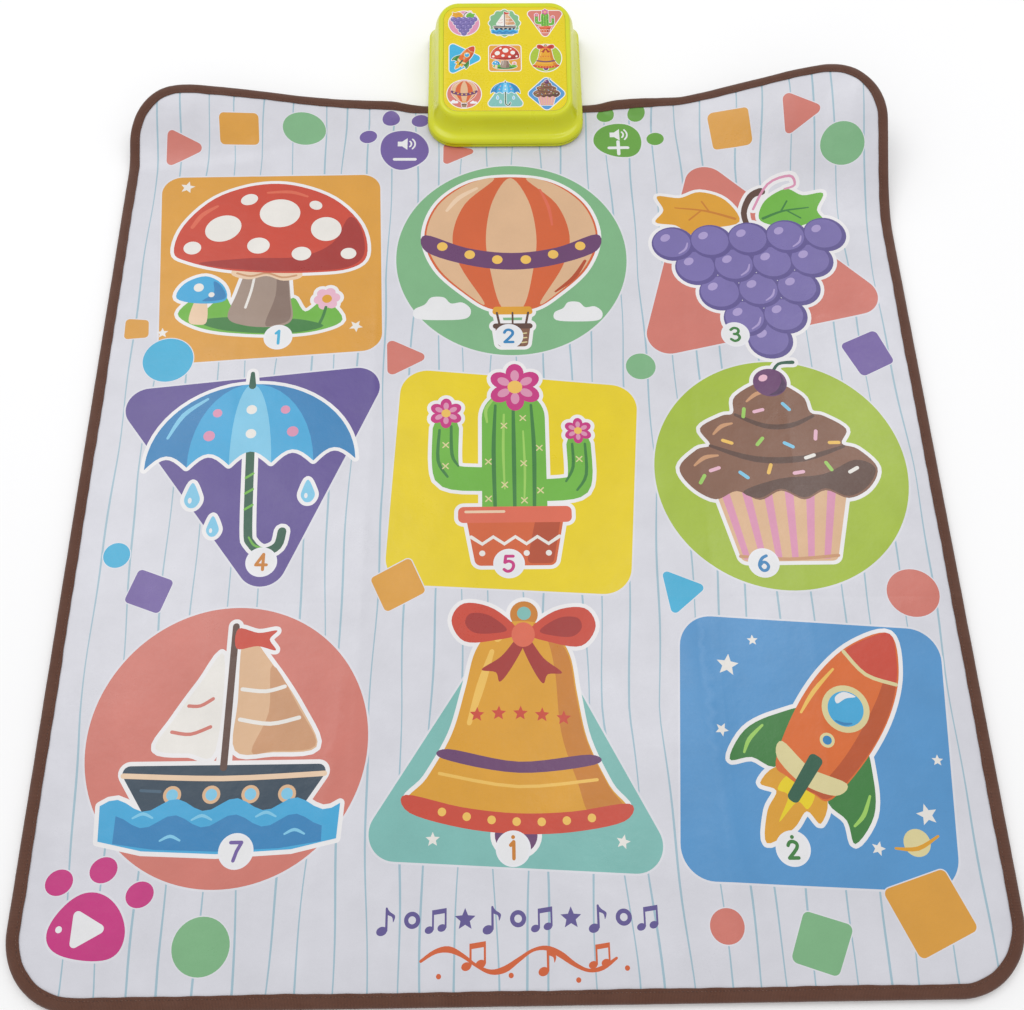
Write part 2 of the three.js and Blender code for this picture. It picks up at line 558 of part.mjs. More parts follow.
// lower housing: a tray that steps up over the mat's edge
const STEP_Y = 451.2;
const frontPart = (d) => {
  const p = plan(84 - d, BOX_Y0 + d, BOX_Y1 - d, Math.max(1, BOX_RF - d), Math.max(1, BOX_RR - d));
  return p;
};
const BAY = { hx: 32.5, y0: 481, y1: 530, z: 20.2, t: 1.6 };   // battery bay, inner size
const DOOR = { hx: 33.5, y0: 470.5, y1: 531 };
const DOOR_SCREW_Y = 475.3;
let tray = cut(solid(prism(frontPart(0), TRAY_Z_REAR, PART_Z - GAP)), solid(boxG(-90, 90, 380, STEP_Y, 0, TRAY_Z_FRONT)));
tray = cut(tray,
  cut(solid(prism(frontPart(2.2), TRAY_Z_REAR + 2, 20)), solid(boxG(-90, 90, 380, STEP_Y + 2, 0, TRAY_Z_FRONT + 2))));
tray = join(tray, solid(boxG(-BAY.hx - BAY.t, BAY.hx + BAY.t, BAY.y0 - BAY.t, BAY.y1 + BAY.t, TRAY_Z_REAR + 1, BAY.z + BAY.t)));
tray = join(tray, ...CASE.map(([x, y]) => solid(cyl(4.6, TRAY_Z_REAR, 14.7, x, y, 12))));
tray = join(tray, solid(boxG(-4.2, 4.2, DOOR_SCREW_Y - 4, BAY.y0, TRAY_Z_REAR + 1, 13)));
tray = cut(tray, solid(boxG(-BAY.hx, BAY.hx, BAY.y0, BAY.y1, 0, BAY.z)));
tray = cut(tray, solid(cyl(1.8, 0, 11, 0, DOOR_SCREW_Y, 10)));
tray = cut(tray, solid(boxG(-DOOR.hx - GAP, DOOR.hx + GAP, DOOR.y0 - GAP, DOOR.y1 + GAP, 0, TRAY_Z_REAR + 2.1)));
tray = cut(tray, ...CASE.map(([x, y]) => join(solid(cyl(1.7, 0, 20, x, y, 10)), solid(cyl(3.4, 0, 6, x, y, 12)))));
tray = cut(tray, ...CLAMP_X.map((x) => solid(cyl(1.9, 5, 12, x, CLAMP_Y, 10))));
tray = cut(tray, solid(prism(tailSlot, 5, 12)));
// sound slots under the loudspeaker
const SPK = { x: -57, y: 503 };
tray = cut(tray, ...[-10, -5, 0, 5, 10].map((d) => {
  const h = Math.sqrt(14 * 14 - d * d);
  return solid(boxG(SPK.x + d - 1, SPK.x + d + 1, SPK.y - h, SPK.y + h, 0, 8));
}));
piece(box, 'lower_housing', tray, 0xc4c81e, 0.45);

CASE.forEach(([x, y], i) => {
  const m = piece(box, `case_screw_${i + 1}`,
    lathe([[0, 3.8], [2.9, 3.8], [2.9, 5.7], [1.35, 5.7], [1.35, 22], [0, 23.2]], 12), 0xb8bcc0, 0.3, 1);
  m.position.set(x, y, 0);
});
[[-50, 468], [50, 468], [-50, 546], [50, 546]].forEach(([x, y], i) => {
  const m = piece(box, `rubber_foot_${i + 1}`, lathe([[0, 0], [4.2, 0], [5, 0.6], [5, 1.5], [0, 1.5]], 12), 0x3a3a3c, 0.95);
  m.position.set(x, y, 0);
});

// batteries, three AA cells side by side, with springs at one end
const AA_R = 7.1;
const AA_Y = [489.4, 505.5, 521.6];
AA_Y.forEach((y, i) => {
  const dir = i % 2 ? -1 : 1;
  const g = new THREE.LatheGeometry([[0, -25], [5.6, -25], [7.1, -24.4], [7.1, 23], [6.4, 23.8], [2.7, 23.8], [2.7, 25.2], [0, 25.2]]
    .map(([r, z]) => new THREE.Vector2(r, z)), 14);
  g.rotateZ(-dir * Math.PI / 2);
  const m = piece(box, `battery_${i + 1}`, g, 0x3f6f4f, 0.4, 0.2);
  m.position.set(dir * 2.4, y, 12.2);
  // coil spring at the flat end
  class Coil extends THREE.Curve {
    getPoint(t, out = new THREE.Vector3()) {
      const q = t * 2.5 * 2 * Math.PI;
      const r = 4.6 - 1.4 * t;
      return out.set(-dir * (29.6 - 5.6 * t - 0.4), y + r * Math.cos(q), 12.2 + r * Math.sin(q));
    }
  }
  const sec = new THREE.Shape(circle(0, 0, 0.45, 0.45, 5).map(([x2, y2]) => new THREE.Vector2(x2, y2)));
  piece(box, `battery_spring_${i + 1}`, new THREE.ExtrudeGeometry(sec, { steps: 25, extrudePath: new Coil(), bevelEnabled: false }), 0xd0d2d4, 0.3, 1);
});
piece(box, 'battery_contact_left', boxG(-32.1, -31.6, 483.5, 527.5, 5.5, 18.5), 0xd0d2d4, 0.3, 1);
piece(box, 'battery_contact_right', boxG(31.6, 32.1, 483.5, 527.5, 5.5, 18.5), 0xd0d2d4, 0.3, 1);

// battery door: two tabs at its rear edge are its hinge, one screw at the front
let door = solid(boxG(-DOOR.hx, DOOR.hx, DOOR.y0, DOOR.y1, TRAY_Z_REAR, TRAY_Z_REAR + 1.8));
door = cut(door, solid(cyl(1.6, 0, 6, 0, DOOR_SCREW_Y, 10)), solid(cyl(3.0, 0, TRAY_Z_REAR + 1.2, 0, DOOR_SCREW_Y, 12)));
piece(box, 'battery_door', door, 0xc4c81e, 0.45);
piece(box, 'battery_door_screw', lathe([[0, 1.9], [2.6, 1.9], [2.6, 2.7], [1.2, 2.7], [1.2, 6], [0, 6.6]], 12), 0xb8bcc0, 0.3, 1)
  .position.set(0, DOOR_SCREW_Y, 0);

// loudspeaker, facing the slots
piece(box, 'speaker_frame', (() => {
  const g = lathe([[0, 13.8], [9.6, 13.8], [9.6, 11.8], [11.5, 11.8], [17.2, 7.6], [17.2, 4.2], [19, 4.2], [19, 7.8], [13, 13.2], [12.4, 18], [0, 18]], 20);
  g.translate(SPK.x, SPK.y, 0);
  return g;
})(), 0x2b2b2e, 0.5, 0.3);
piece(box, 'speaker_cone', (() => {
  const g = lathe([[0, 9.4], [5, 9.0], [15.4, 5.9], [15.4, 6.5], [6.2, 10.2], [6.2, 12.4], [5.4, 12.4], [5.4, 10.4], [0, 10.4]], 20);
  g.translate(SPK.x, SPK.y, 0);
  return g;
})(), 0x4a4540, 0.9);

// power switch: body inside the rear wall, slider through its slot
const slider = join(
  solid(boxG(-3.2, 3.2, 0, 6.5, -2.4, 2.4)),
  solid(boxG(-7, 7, -2.2, 0.2, -4.2, 4.2)));
const swMesh = piece(box, 'power_slider', slider, 0x4b4b50, 0.5);
swMesh.position.set(SWITCH.x - 4, 545.2, SWITCH.z);
piece(box, 'power_switch_body', boxG(SWITCH.x - 12, SWITCH.x + 12, 533.5, 542.6, SWITCH.z - 5, SWITCH.z + 5), 0x2b2b2e, 0.6, 0.2);

// flat film tail from the mat to the board
{
  const t = 0.4;
  const pts = [[TAIL_Y, 4.9], [TAIL_Y + t, 4.9], [TAIL_Y + t, 18], [TAIL_Y + 3, 21], [TAIL_Y + 12, 24], [TAIL_Y + 12, 24 + t], [TAIL_Y + 3 - 0.1, 21 + t], [TAIL_Y, 18.2]];
  const g = new THREE.ExtrudeGeometry(new THREE.Shape(pts.map(([y, z]) => new THREE.Vector2(y, z))), { depth: 2 * TAIL_HX - 4, bevelEnabled: false });
  // shape x -> Y, shape y -> Z, depth -> X
  g.applyMatrix4(new THREE.Matrix4().makeBasis(new THREE.Vector3(0, 1, 0), new THREE.Vector3(0, 0, 1), new THREE.Vector3(1, 0, 0)));
  g.translate(-TAIL_HX + 2, 0, 0);
  piece(clamp, 'film_tail', g, 0xc9d2d6, 0.35);
}

export default object;
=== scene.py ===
import json
import math

import bmesh
import bpy
import numpy as np
from mathutils import Matrix, Vector
from mathutils.geometry import delaunay_2d_cdt


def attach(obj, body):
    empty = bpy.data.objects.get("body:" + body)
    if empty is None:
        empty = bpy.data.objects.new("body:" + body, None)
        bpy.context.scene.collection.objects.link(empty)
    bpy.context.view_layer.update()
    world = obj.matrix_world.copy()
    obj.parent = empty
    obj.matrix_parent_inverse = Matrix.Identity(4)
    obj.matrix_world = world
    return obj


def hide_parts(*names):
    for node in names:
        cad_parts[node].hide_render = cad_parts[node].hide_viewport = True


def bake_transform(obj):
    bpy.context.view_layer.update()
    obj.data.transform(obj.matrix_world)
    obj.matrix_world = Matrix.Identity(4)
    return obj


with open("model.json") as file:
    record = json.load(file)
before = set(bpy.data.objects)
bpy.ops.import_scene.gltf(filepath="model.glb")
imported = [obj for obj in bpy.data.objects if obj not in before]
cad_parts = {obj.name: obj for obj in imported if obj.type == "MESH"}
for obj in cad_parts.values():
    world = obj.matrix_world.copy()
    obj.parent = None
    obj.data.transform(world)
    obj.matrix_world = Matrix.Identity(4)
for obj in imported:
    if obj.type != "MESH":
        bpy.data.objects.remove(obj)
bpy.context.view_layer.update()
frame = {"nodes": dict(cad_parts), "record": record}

MM = 0.001
scene = bpy.context.scene

# ------------------------------------------------------------------ camera
# lens, place and turn were fitted to the outline and the round zones of the mat
cam_data = bpy.data.cameras.new("view_camera")
cam_data.sensor_fit = "HORIZONTAL"
cam_data.sensor_width = 36.0
cam_data.lens = 38.858
cam_data.clip_start, cam_data.clip_end = 0.05, 30
camera = bpy.data.objects.new("view_camera", cam_data)
scene.collection.objects.link(camera)
cam_r = Vector((0.99986259, -0.0146716, 0.00771699))
cam_u = Vector((0.01022486, 0.91223265, 0.40954492))
cam_w = Vector((0.01304837, 0.40940973, -0.91225732))
camera.matrix_world = Matrix((
    (cam_r.x, cam_u.x, -cam_w.x, -0.0128),
    (cam_r.y, cam_u.y, -cam_w.y, -0.44599),
    (cam_r.z, cam_u.z, -cam_w.z, 0.93195),
    (0, 0, 0, 1)))
scene.camera = camera
scene.view_settings.view_transform = "Standard"
scene.view_settings.look = "None"
scene.view_settings.exposure = 0.0
scene.view_settings.gamma = 1.0

# ------------------------------------------------------------------ sizes, mm (the CAD's own)
MAT_W, MAT_L, CORNER_R = 800.0, 900.0, 60.0
FOLD_Y, FOLD_HALF = -122.5, 6.0
COVER_Z, COVER_T = 5.6, 0.7
# how the far edge leaves the floor: X, height at the edge, depth of the curl, as in the CAD
BEND = [
    [(88, 0, 0), (102, 1.5, 15), (118, 7, 22), (140, 9.5, 25), (165, 10, 34), (190, 11, 50), (215, 18, 70),
     (245, 28.5, 95), (275, 38.5, 120), (305, 49, 145), (335, 56.5, 165), (365, 58, 172), (400, 55, 176)],
    [(-88, 0, 0), (-104, 2.5, 18), (-122, 7.5, 26), (-155, 8.8, 32), (-185, 10.8, 45), (-220, 15.3, 65),
     (-260, 22.7, 80), (-300, 29, 85), (-330, 33, 87.5), (-365, 33.5, 89), (-400, 30, 91)],
]
SLOPE = 22.5 / 135.0
TILT = math.atan(SLOPE)
TOP_C = (0.0, 477.5, 45.75)


# ------------------------------------------------------------------ plan helpers
def rounded(corners, r, seg=10):
    out, n = [], len(corners)
    for i in range(n):
        p = Vector(corners[i])
        a = (Vector(corners[i - 1]) - p).normalized()
        b = (Vector(corners[(i + 1) % n]) - p).normalized()
        half = math.acos(max(-1.0, min(1.0, a.dot(b)))) / 2
        rr = r[i] if isinstance(r, (list, tuple)) else r
        c = (a + b).normalized() * (rr / math.sin(half)) + p
        t = rr / math.tan(half)
        s, e = a * t + p - c, b * t + p - c
        a0, a1 = math.atan2(s.y, s.x), math.atan2(e.y, e.x)
        turn = a.x * b.y - a.y * b.x
        if turn < 0:      # counter clockwise corner
            while a1 < a0:
                a1 += 2 * math.pi
        else:
            while a1 > a0:
                a1 -= 2 * math.pi
        for k in range(seg + 1):
            q = a0 + (a1 - a0) * k / seg
            out.append((c.x + rr * math.cos(q), c.y + rr * math.sin(q)))
    return out


def ellipse(cx, cy, rx, ry=None, rot=0.0, n=40):
    ry = rx if ry is None else ry
    c, s = math.cos(math.radians(rot)), math.sin(math.radians(rot))
    out = []
    for i in range(n):
        q = 2 * math.pi * i / n
        x, y = rx * math.cos(q), ry * math.sin(q)
        out.append((cx + x * c - y * s, cy + x * s + y * c))
    return out


def spline(pts, k=5, closed=True):
    """Catmull-Rom curve through the points."""
    n = len(pts)
    p = np.array(pts, float)
    out = []
    for i in range(n if closed else n - 1):
        if closed:
            a, b, c, d = p[i - 1], p[i], p[(i + 1) % n], p[(i + 2) % n]
        else:
            a, b, c, d = p[max(i - 1, 0)], p[i], p[i + 1], p[min(i + 2, n - 1)]
        for j in range(k):
            t = j / k
            out.append(tuple(0.5 * ((2 * b) + (c - a) * t + (2 * a - 5 * b + 4 * c - d) * t * t
                                    + (3 * b - a - 3 * c + d) * t ** 3)))
    if not closed:
        out.append(tuple(p[-1]))
    return out


def signed_area(pts):
    p = np.array(pts, float)
    q = np.roll(p, -1, axis=0)
    return float((p[:, 0] * q[:, 1] - q[:, 0] * p[:, 1]).sum() / 2)


def ccw(pts):
    return list(pts) if signed_area(pts) > 0 else list(reversed(pts))


def eased(pts):
    n = len(pts)
    return [(0.5 * pts[i][0] + 0.25 * (pts[i - 1][0] + pts[(i + 1) % n][0]),
             0.5 * pts[i][1] + 0.25 * (pts[i - 1][1] + pts[(i + 1) % n][1])) for i in range(n)]


def grown(pts, d, seg=4):
    """Outline moved outwards by d, round at its outer corners. Read with the winding rule."""
    p = ccw(pts)
    n, out = len(p), []
    for i in range(n):
        a, b, c = Vector(p[i - 1]), Vector(p[i]), Vector(p[(i + 1) % n])
        e0, e1 = b - a, c - b
        if e0.length < 1e-6 or e1.length < 1e-6:
            continue
        e0.normalize()
        e1.normalize()
        n0, n1 = Vector((e0.y, -e0.x)), Vector((e1.y, -e1.x))
        turn = math.atan2(e0.x * e1.y - e0.y * e1.x, e0.dot(e1))
        if turn > 0.25:
            q0 = math.atan2(n0.y, n0.x)
            steps = max(2, int(turn / 0.4))
            for k in range(steps + 1):
                q = q0 + turn * k / steps
                out.append((b.x + d * math.cos(q), b.y + d * math.sin(q)))
        elif turn < -0.25:
            out += [tuple(b + n0 * d), tuple(b), tuple(b + n1 * d)]
        else:
            m = (n0 + n1).normalized()
            out.append(tuple(b + m * (d / max(0.6, m.dot(n0)))))
    return out


def stroke(pts, w, cap=5, k=4, smooth=True):
    """A line of width w (one number, or one for each point) with round ends."""
    ws = w if isinstance(w, (list, tuple)) else [w] * len(pts)
    if smooth and len(pts) > 2:

        p3 = np.array([(pts[i][0], pts[i][1], ws[i]) for i in range(len(pts))], float)
        out3 = []
        n = len(p3)
        for i in range(n - 1):
            a, b, c, d = p3[max(i - 1, 0)], p3[i], p3[i + 1], p3[min(i + 2, n - 1)]
            for j in range(k):
                t = j / k
                out3.append(0.5 * ((2 * b) + (c - a) * t + (2 * a - 5 * b + 4 * c - d) * t * t
                                   + (3 * b - a - 3 * c + d) * t ** 3))
        out3.append(p3[-1])
        p3 = np.array(out3)
    else:
        p3 = np.array([(pts[i][0], pts[i][1], ws[i]) for i in range(len(pts))], float)
    xy, hw = p3[:, :2], p3[:, 2] / 2
    tan = np.gradient(xy, axis=0)
    tan /= np.maximum(np.linalg.norm(tan, axis=1)[:, None], 1e-9)
    nor = np.stack([-tan[:, 1], tan[:, 0]], 1)
    left = xy + nor * hw[:, None]
    right = xy - nor * hw[:, None]

    def end(c, t, r):
        a = math.atan2(t[1], t[0])
        return [(c[0] + r * math.cos(a - math.pi / 2 + math.pi * i / cap),
                 c[1] + r * math.sin(a - math.pi / 2 + math.pi * i / cap)) for i in range(1, cap)]
    return ([tuple(q) for q in right] + end(xy[-1], tan[-1], hw[-1])
            + [tuple(q) for q in left[::-1]] + end(xy[0], -tan[0], hw[0]))


def star(cx, cy, big, small, k=5, rot=90.0):
    return [(cx + (big if i % 2 == 0 else small) * math.cos(math.radians(rot + 180.0 * i / k)),
             cy + (big if i % 2 == 0 else small) * math.sin(math.radians(rot + 180.0 * i / k)))
            for i in range(2 * k)]


def flip(pts):
    return [(-x, y) for x, y in pts]


def placed(art, cx, cy, s=1.0, rot=0.0):
    c, d = math.cos(math.radians(rot)) * s, math.sin(math.radians(rot)) * s
    return [([(cx + x * c - y * d, cy + x * d + y * c) for x, y in pts], ink, outer) for pts, ink, outer in art]


# ------------------------------------------------------------------ inks, sRGB 0 to 255
INK = {
    "ground": (222, 222, 230), "stripe": (164, 194, 208), "rim": (240, 240, 245), "edge": (228, 228, 235), "cream": (240, 236, 230), "halo": (243, 241, 242),
    "white": (238, 238, 240),
    "coral": (214, 123, 110), "orange": (225, 161, 58), "green": (128, 184, 134), "sky": (62, 179, 220),
    "violet": (114, 92, 163), "violet_s": (96, 78, 150), "magenta": (204, 46, 130), "yellow": (238, 212, 4), "lime": (168, 194, 54),
    "teal": (128, 191, 184), "blue": (84, 152, 208), "key_green": (104, 166, 62), "label": (230, 207, 0),
    "red": (208, 70, 48), "red_d": (168, 46, 40), "red_l": (226, 106, 78), "orange_red": (216, 98, 48),
    "orange_red_d": (184, 74, 36), "peach": (226, 184, 144), "peach_d": (208, 154, 112), "peach_l": (240, 208, 176),
    "purple": (124, 112, 176), "purple_d": (96, 84, 148), "lilac": (176, 160, 212), "azure": (64, 172, 222),
    "azure_d": (44, 132, 190), "azure_l": (130, 204, 236), "leaf": (112, 184, 62), "leaf_d": (58, 128, 58),
    "leaf_l": (160, 210, 96), "pine": (36, 92, 68), "brown": (92, 62, 50), "brown_l": (134, 92, 70),
    "navy": (44, 66, 84), "navy_l": (70, 98, 120), "amber": (226, 162, 38), "amber_d": (206, 128, 34),
    "amber_l": (244, 196, 92), "plum": (106, 60, 108), "plum_d": (74, 42, 84), "ember": (224, 108, 38),
    "ember_d": (190, 82, 30), "pink": (224, 150, 182), "pink_l": (238, 186, 206), "taupe": (166, 144, 130),
    "taupe_d": (136, 112, 100), "sand": (226, 214, 158), "dot": (140, 190, 140),
}


def linear(c):
    c = c / 255.0
    return c / 12.92 if c <= 0.04045 else ((c + 0.055) / 1.055) ** 2.4


# ------------------------------------------------------------------ motifs, mm, each about its own middle
def m_toadstool():
    a = [(spline([(-82, -66), (-66, -46), (-56, -60), (-40, -42), (-26, -58), (-4, -46), (14, -60), (30, -42),
                  (44, -58), (62, -44), (82, -66), (58, -80), (20, -86), (-30, -86), (-62, -80)]), "leaf", 1),
         (spline([(-60, -74), (-30, -68), (0, -72), (34, -67), (64, -74), (30, -84), (-30, -84)]), "leaf_d", 0),
         (spline([(-32, -68), (-27, -40), (-22, -10), (-20, 22), (20, 22), (22, -10), (27, -40), (32, -68), (16, -77), (-14, -77)]), "taupe", 1),
         (spline([(6, 18), (18, 18), (21, -10), (26, -40), (30, -67), (16, -75), (6, -74), (12, -40), (9, -8)]), "taupe_d", 0),
         (stroke([(-16, -56), (-13, -36), (-12, -20)], 2.6), "cream", 0),
         (spline([(-26, 0), (-36, -16), (-18, -22), (0, -17), (18, -22), (36, -16), (26, 0), (0, 6)]), "peach_l", 0),
         (stroke([(-30, -15), (-16, -18), (0, -13.5), (16, -18), (30, -15)], 2.2), "peach_d", 0),
         (spline([(-98, 8), (-93, 42), (-66, 78), (-26, 97), (14, 99), (58, 83), (90, 50), (99, 12), (82, -5), (44, -11),
                  (0, -13), (-44, -11), (-82, -3)]), "red", 1),
         (spline([(96, 14), (81, -3), (44, -9), (0, -11), (-44, -9), (-70, -4), (-20, 4), (30, 8), (62, 26), (76, 60), (90, 46)]), "red_d", 0),
         (ellipse(-52, 40, 19, 16, 30), "cream", 0), (ellipse(4, 62, 21, 18), "cream", 0), (ellipse(54, 44, 16, 15, -25), "cream", 0),
         (ellipse(-13, 20, 11.5, 10), "cream", 0), (ellipse(-80, 14, 9, 8), "cream", 0), (ellipse(32, 12, 10, 8.5), "cream", 0),
         (ellipse(80, 14, 8, 7), "cream", 0), (ellipse(-30, 78, 9, 7, 24), "cream", 0), (ellipse(40, 74, 7, 5.5, -24), "cream", 0),
         (stroke([(-84, 40), (-76, 56), (-62, 68)], [4, 5, 3]), "red_l", 0),
         (stroke([(-12, 88), (12, 90), (30, 85)], [2.5, 4, 2.5]), "red_l", 0),
         (spline([(-70, -74), (-67, -50), (-56, -50), (-52, -74), (-60, -78)]), "peach_l", 1),
         (spline([(-86, -48), (-81, -30), (-61, -20), (-42, -30), (-37, -48), (-61, -53)]), "azure", 1),
         (spline([(-60, -50), (-38, -46), (-43, -32), (-52, -26), (-50, -40)]), "azure_d", 0),
         (ellipse(-66, -34, 5), "cream", 0), (ellipse(-52, -42, 3), "cream", 0)]
    for i in range(6):
        q = math.radians(60 * i + 12)
        a.append((ellipse(64 + 8 * math.cos(q), -42 + 8 * math.sin(q), 5.4, 5.4, 0, 16), "pink_l", 1))
    a.append((ellipse(64, -42, 5, 5, 0, 16), "amber", 0))
    a.append((stroke([(64, -52), (62, -64), (58, -76)], 3), "leaf_d", 0))
    return a


def m_balloon():
    a = [(spline([(0, 100), (42, 93), (74, 66), (86, 26), (74, -12), (46, -42), (19, -60), (-19, -60), (-46, -42), (-74, -12),
                  (-86, 26), (-74, 66), (-42, 93)], 7), "orange_red", 1)]
    gore = [(0, 99), (18, 70), (25, 26), (21, -14), (10, -58), (-10, -58), (-21, -14), (-25, 26), (-18, 70)]
    a.append((spline(gore, 6), "peach", 0))
    side = [(16, 98), (46, 66), (58, 26), (50, -10), (27, -52), (38, -47), (70, -14), (84, 25), (73, 64), (44, 91)]
    a.append((spline(side, 6), "peach", 0))
    a.append((spline(flip(side), 6), "peach", 0))
    a.append((spline([(-85, 28), (-44, 12), (0, 6), (44, 12), (85, 28), (84, 8), (44, -8), (0, -14), (-44, -8), (-84, 8)], 5), "plum", 0))
    for x, y in ((-68, 14), (-41, 4), (-14, -2), (14, -2), (41, 4), (68, 14)):
        a.append((ellipse(x, y, 5.2, 5.2, 0, 18), "amber_l", 0))
    a.append((stroke([(-64, 58), (-52, 74), (-34, 86)], [3, 5, 3]), "peach_l", 0))
    a.append((stroke([(72, -4), (60, -24), (42, -40)], [3, 4.5, 2]), "orange_red_d", 0))
    a.append((stroke([(30, 84), (38, 62), (41, 40)], [2, 3.4, 2]), "red_l", 0))
    a.append((rounded([(-20, -66), (20, -66), (18, -57), (-18, -57)], 3, 4), "amber", 1))
    for x in (-1, 1):
        a.append((stroke([(15 * x, -64), (12 * x, -80)], 2.2, smooth=False), "brown", 1))
    a.append((stroke([(0, -64), (0, -80)], 1.8, smooth=False), "brown", 0))
    a.append((rounded([(-14, -102), (14, -102), (17, -78), (-17, -78)], 4, 5), "brown_l", 1))
    a.append((rounded([(-19, -82), (19, -82), (19, -76), (-19, -76)], 2.9, 4), "brown", 1))
    for k in range(3):
        a.append((stroke([(-13, -87 - 5 * k), (0, -88.5 - 5 * k), (13, -87 - 5 * k)], 1.3), "sand", 0))
    for x in (-8, 0, 8):
        a.append((stroke([(x, -84), (x * 0.9, -100)], 1.1, smooth=False), "brown", 0))
    cloud = [(-26, -8), (-28, 2), (-18, 8), (-12, 16), (0, 16), (7, 9), (18, 10), (26, 2), (22, -8), (0, -10)]
    a.append((spline([(x - 66, y - 62) for x, y in cloud]), "white", 0))
    a.append((spline([(x * 0.85 + 64, y * 0.85 - 66) for x, y in cloud]), "white", 0))
    return a


def m_grapes():
    a = [(stroke([(2, 44), (0, 66), (10, 86), (22, 92)], [6, 6, 7, 9]), "brown", 1),
         (spline([(-6, 56), (-16, 84), (-40, 96), (-62, 90), (-84, 94), (-80, 76), (-90, 62), (-70, 56), (-58, 44), (-38, 50)]), "amber", 1),
         (stroke([(-10, 60), (-38, 72), (-68, 78)], [3, 2.4, 1.4]), "amber_d", 0),
         (stroke([(-34, 70), (-40, 84)], 1.8, smooth=False), "amber_d", 0), (stroke([(-42, 73), (-56, 62)], 1.8, smooth=False), "amber_d", 0),
         (spline([(14, 58), (24, 80), (46, 92), (62, 82), (82, 80), (74, 64), (80, 48), (60, 48), (44, 42), (28, 48)]), "leaf", 1),
         (stroke([(18, 58), (40, 66), (66, 68)], [3, 2.4, 1.4]), "leaf_d", 0),
         (stroke([(38, 66), (46, 78)], 1.8, smooth=False), "leaf_d", 0), (stroke([(44, 66), (56, 56)], 1.8, smooth=False), "leaf_d", 0),
         (stroke([(10, 70), (30, 100), (52, 104), (56, 94), (46, 92)], [2.4, 2.6, 2.6, 2.4, 2]), "pink", 1)]
    rows = [(34, [-76, -38, 0, 38, 76]), (4, [-57, -19, 19, 57]), (-27, [-38, 0, 38]), (-58, [-19, 19]), (-84, [0])]
    order = []
    for y, xs in reversed(rows):
        order += [(x, y) for x in xs]
    for x, y in order:
        a.append((ellipse(x, y, 21.5, 20.5, 0, 32), "purple_d", 1))
    for i, (x, y) in enumerate(order):
        a.append((ellipse(x, y, 21, 20, 0, 32), "purple_d", 0))
        a.append((ellipse(x - 1.2, y + 1.6, 18.6, 17.4, 0, 30), "purple", 0))
        a.append((ellipse(x - 7, y + 8, 5.4, 4, 35, 16), "lilac", 0))
        if i % 3 == 1:
            a.append((stroke([(x + 4, y - 12), (x + 11, y - 7), (x + 14, y)], [1.4, 2.2, 1.4]), "lilac", 0))
    return a


def m_umbrella():
    a = [(stroke([(0, 20), (0, -62), (3, -78), (14, -87), (27, -82), (31, -68)], 8), "pine", 1)]
    tips = [-98 + 39.2 * i for i in range(6)]
    top = [(98 * math.cos(math.radians(q)), 2 + 86 * math.sin(math.radians(q))) for q in range(0, 181, 6)]
    low = []
    for i in range(5):
        low += [(tips[i] + 39.2 * t / 8, 2 + 13 * math.sin(math.pi * t / 8)) for t in range(8)]
    a.append((top + low[1:], "azure", 1))

    def rib(x, n=10):
        return [(x * math.sin(math.pi / 2 * t / n), 88 - 86 * (1 - math.cos(math.pi / 2 * t / n))) for t in range(n + 1)]
    for i, ink in ((0, "azure_d"), (2, "azure_l"), (4, "azure_d")):
        left, right = rib(tips[i]), rib(tips[i + 1])
        arc = [(tips[i] + 39.2 * t / 8, 2 + 13 * math.sin(math.pi * t / 8)) for t in range(1, 8)]
        a.append((left + arc + right[::-1], ink, 0))
    for i in (1, 3):
        for x, y, r in ((tips[i] + 19.6, 34, 5.5), (tips[i] * 0.82 + 16, 58, 4.5)):
            a.append((ellipse(x, y, r, r, 0, 18), "pink", 0))
    for x, y in ((0, 34), (0, 60)):
        a.append((ellipse(x, y, 5, 5, 0, 18), "cream", 0))
    a.append((stroke([(-78, 34), (-64, 58), (-42, 74)], [2.5, 4.5, 2.5]), "azure_l", 0))
    a.append((stroke([(0, 86), (0, 100)], [7, 4], smooth=False), "pine", 1))
    for y in (-12, -28, -44):
        a.append((stroke([(-3.4, y), (3.4, y + 4)], 2.4, smooth=False), "leaf", 0))
    a.append((stroke([(1, -72), (6, -80), (14, -83.5)], [1.6, 2.2, 1.6]), "leaf", 0))
    for x, y, s in ((-52, -28, 1.0), (-32, -60, 0.8), (54, -30, 0.9), (-70, -6, 0.0), (44, -4, 0.0)):
        if s:
            drop = [(0, 14), (6, 2), (7, -5), (3, -11), (-3, -11), (-7, -5), (-6, 2)]
            a.append((spline([(x + u * s, y + v * s) for u, v in drop]), "azure_l", 1))
            a.append((ellipse(x - 2 * s, y - 4 * s, 1.8 * s, 3 * s, 0, 12), "white", 0))
    return a


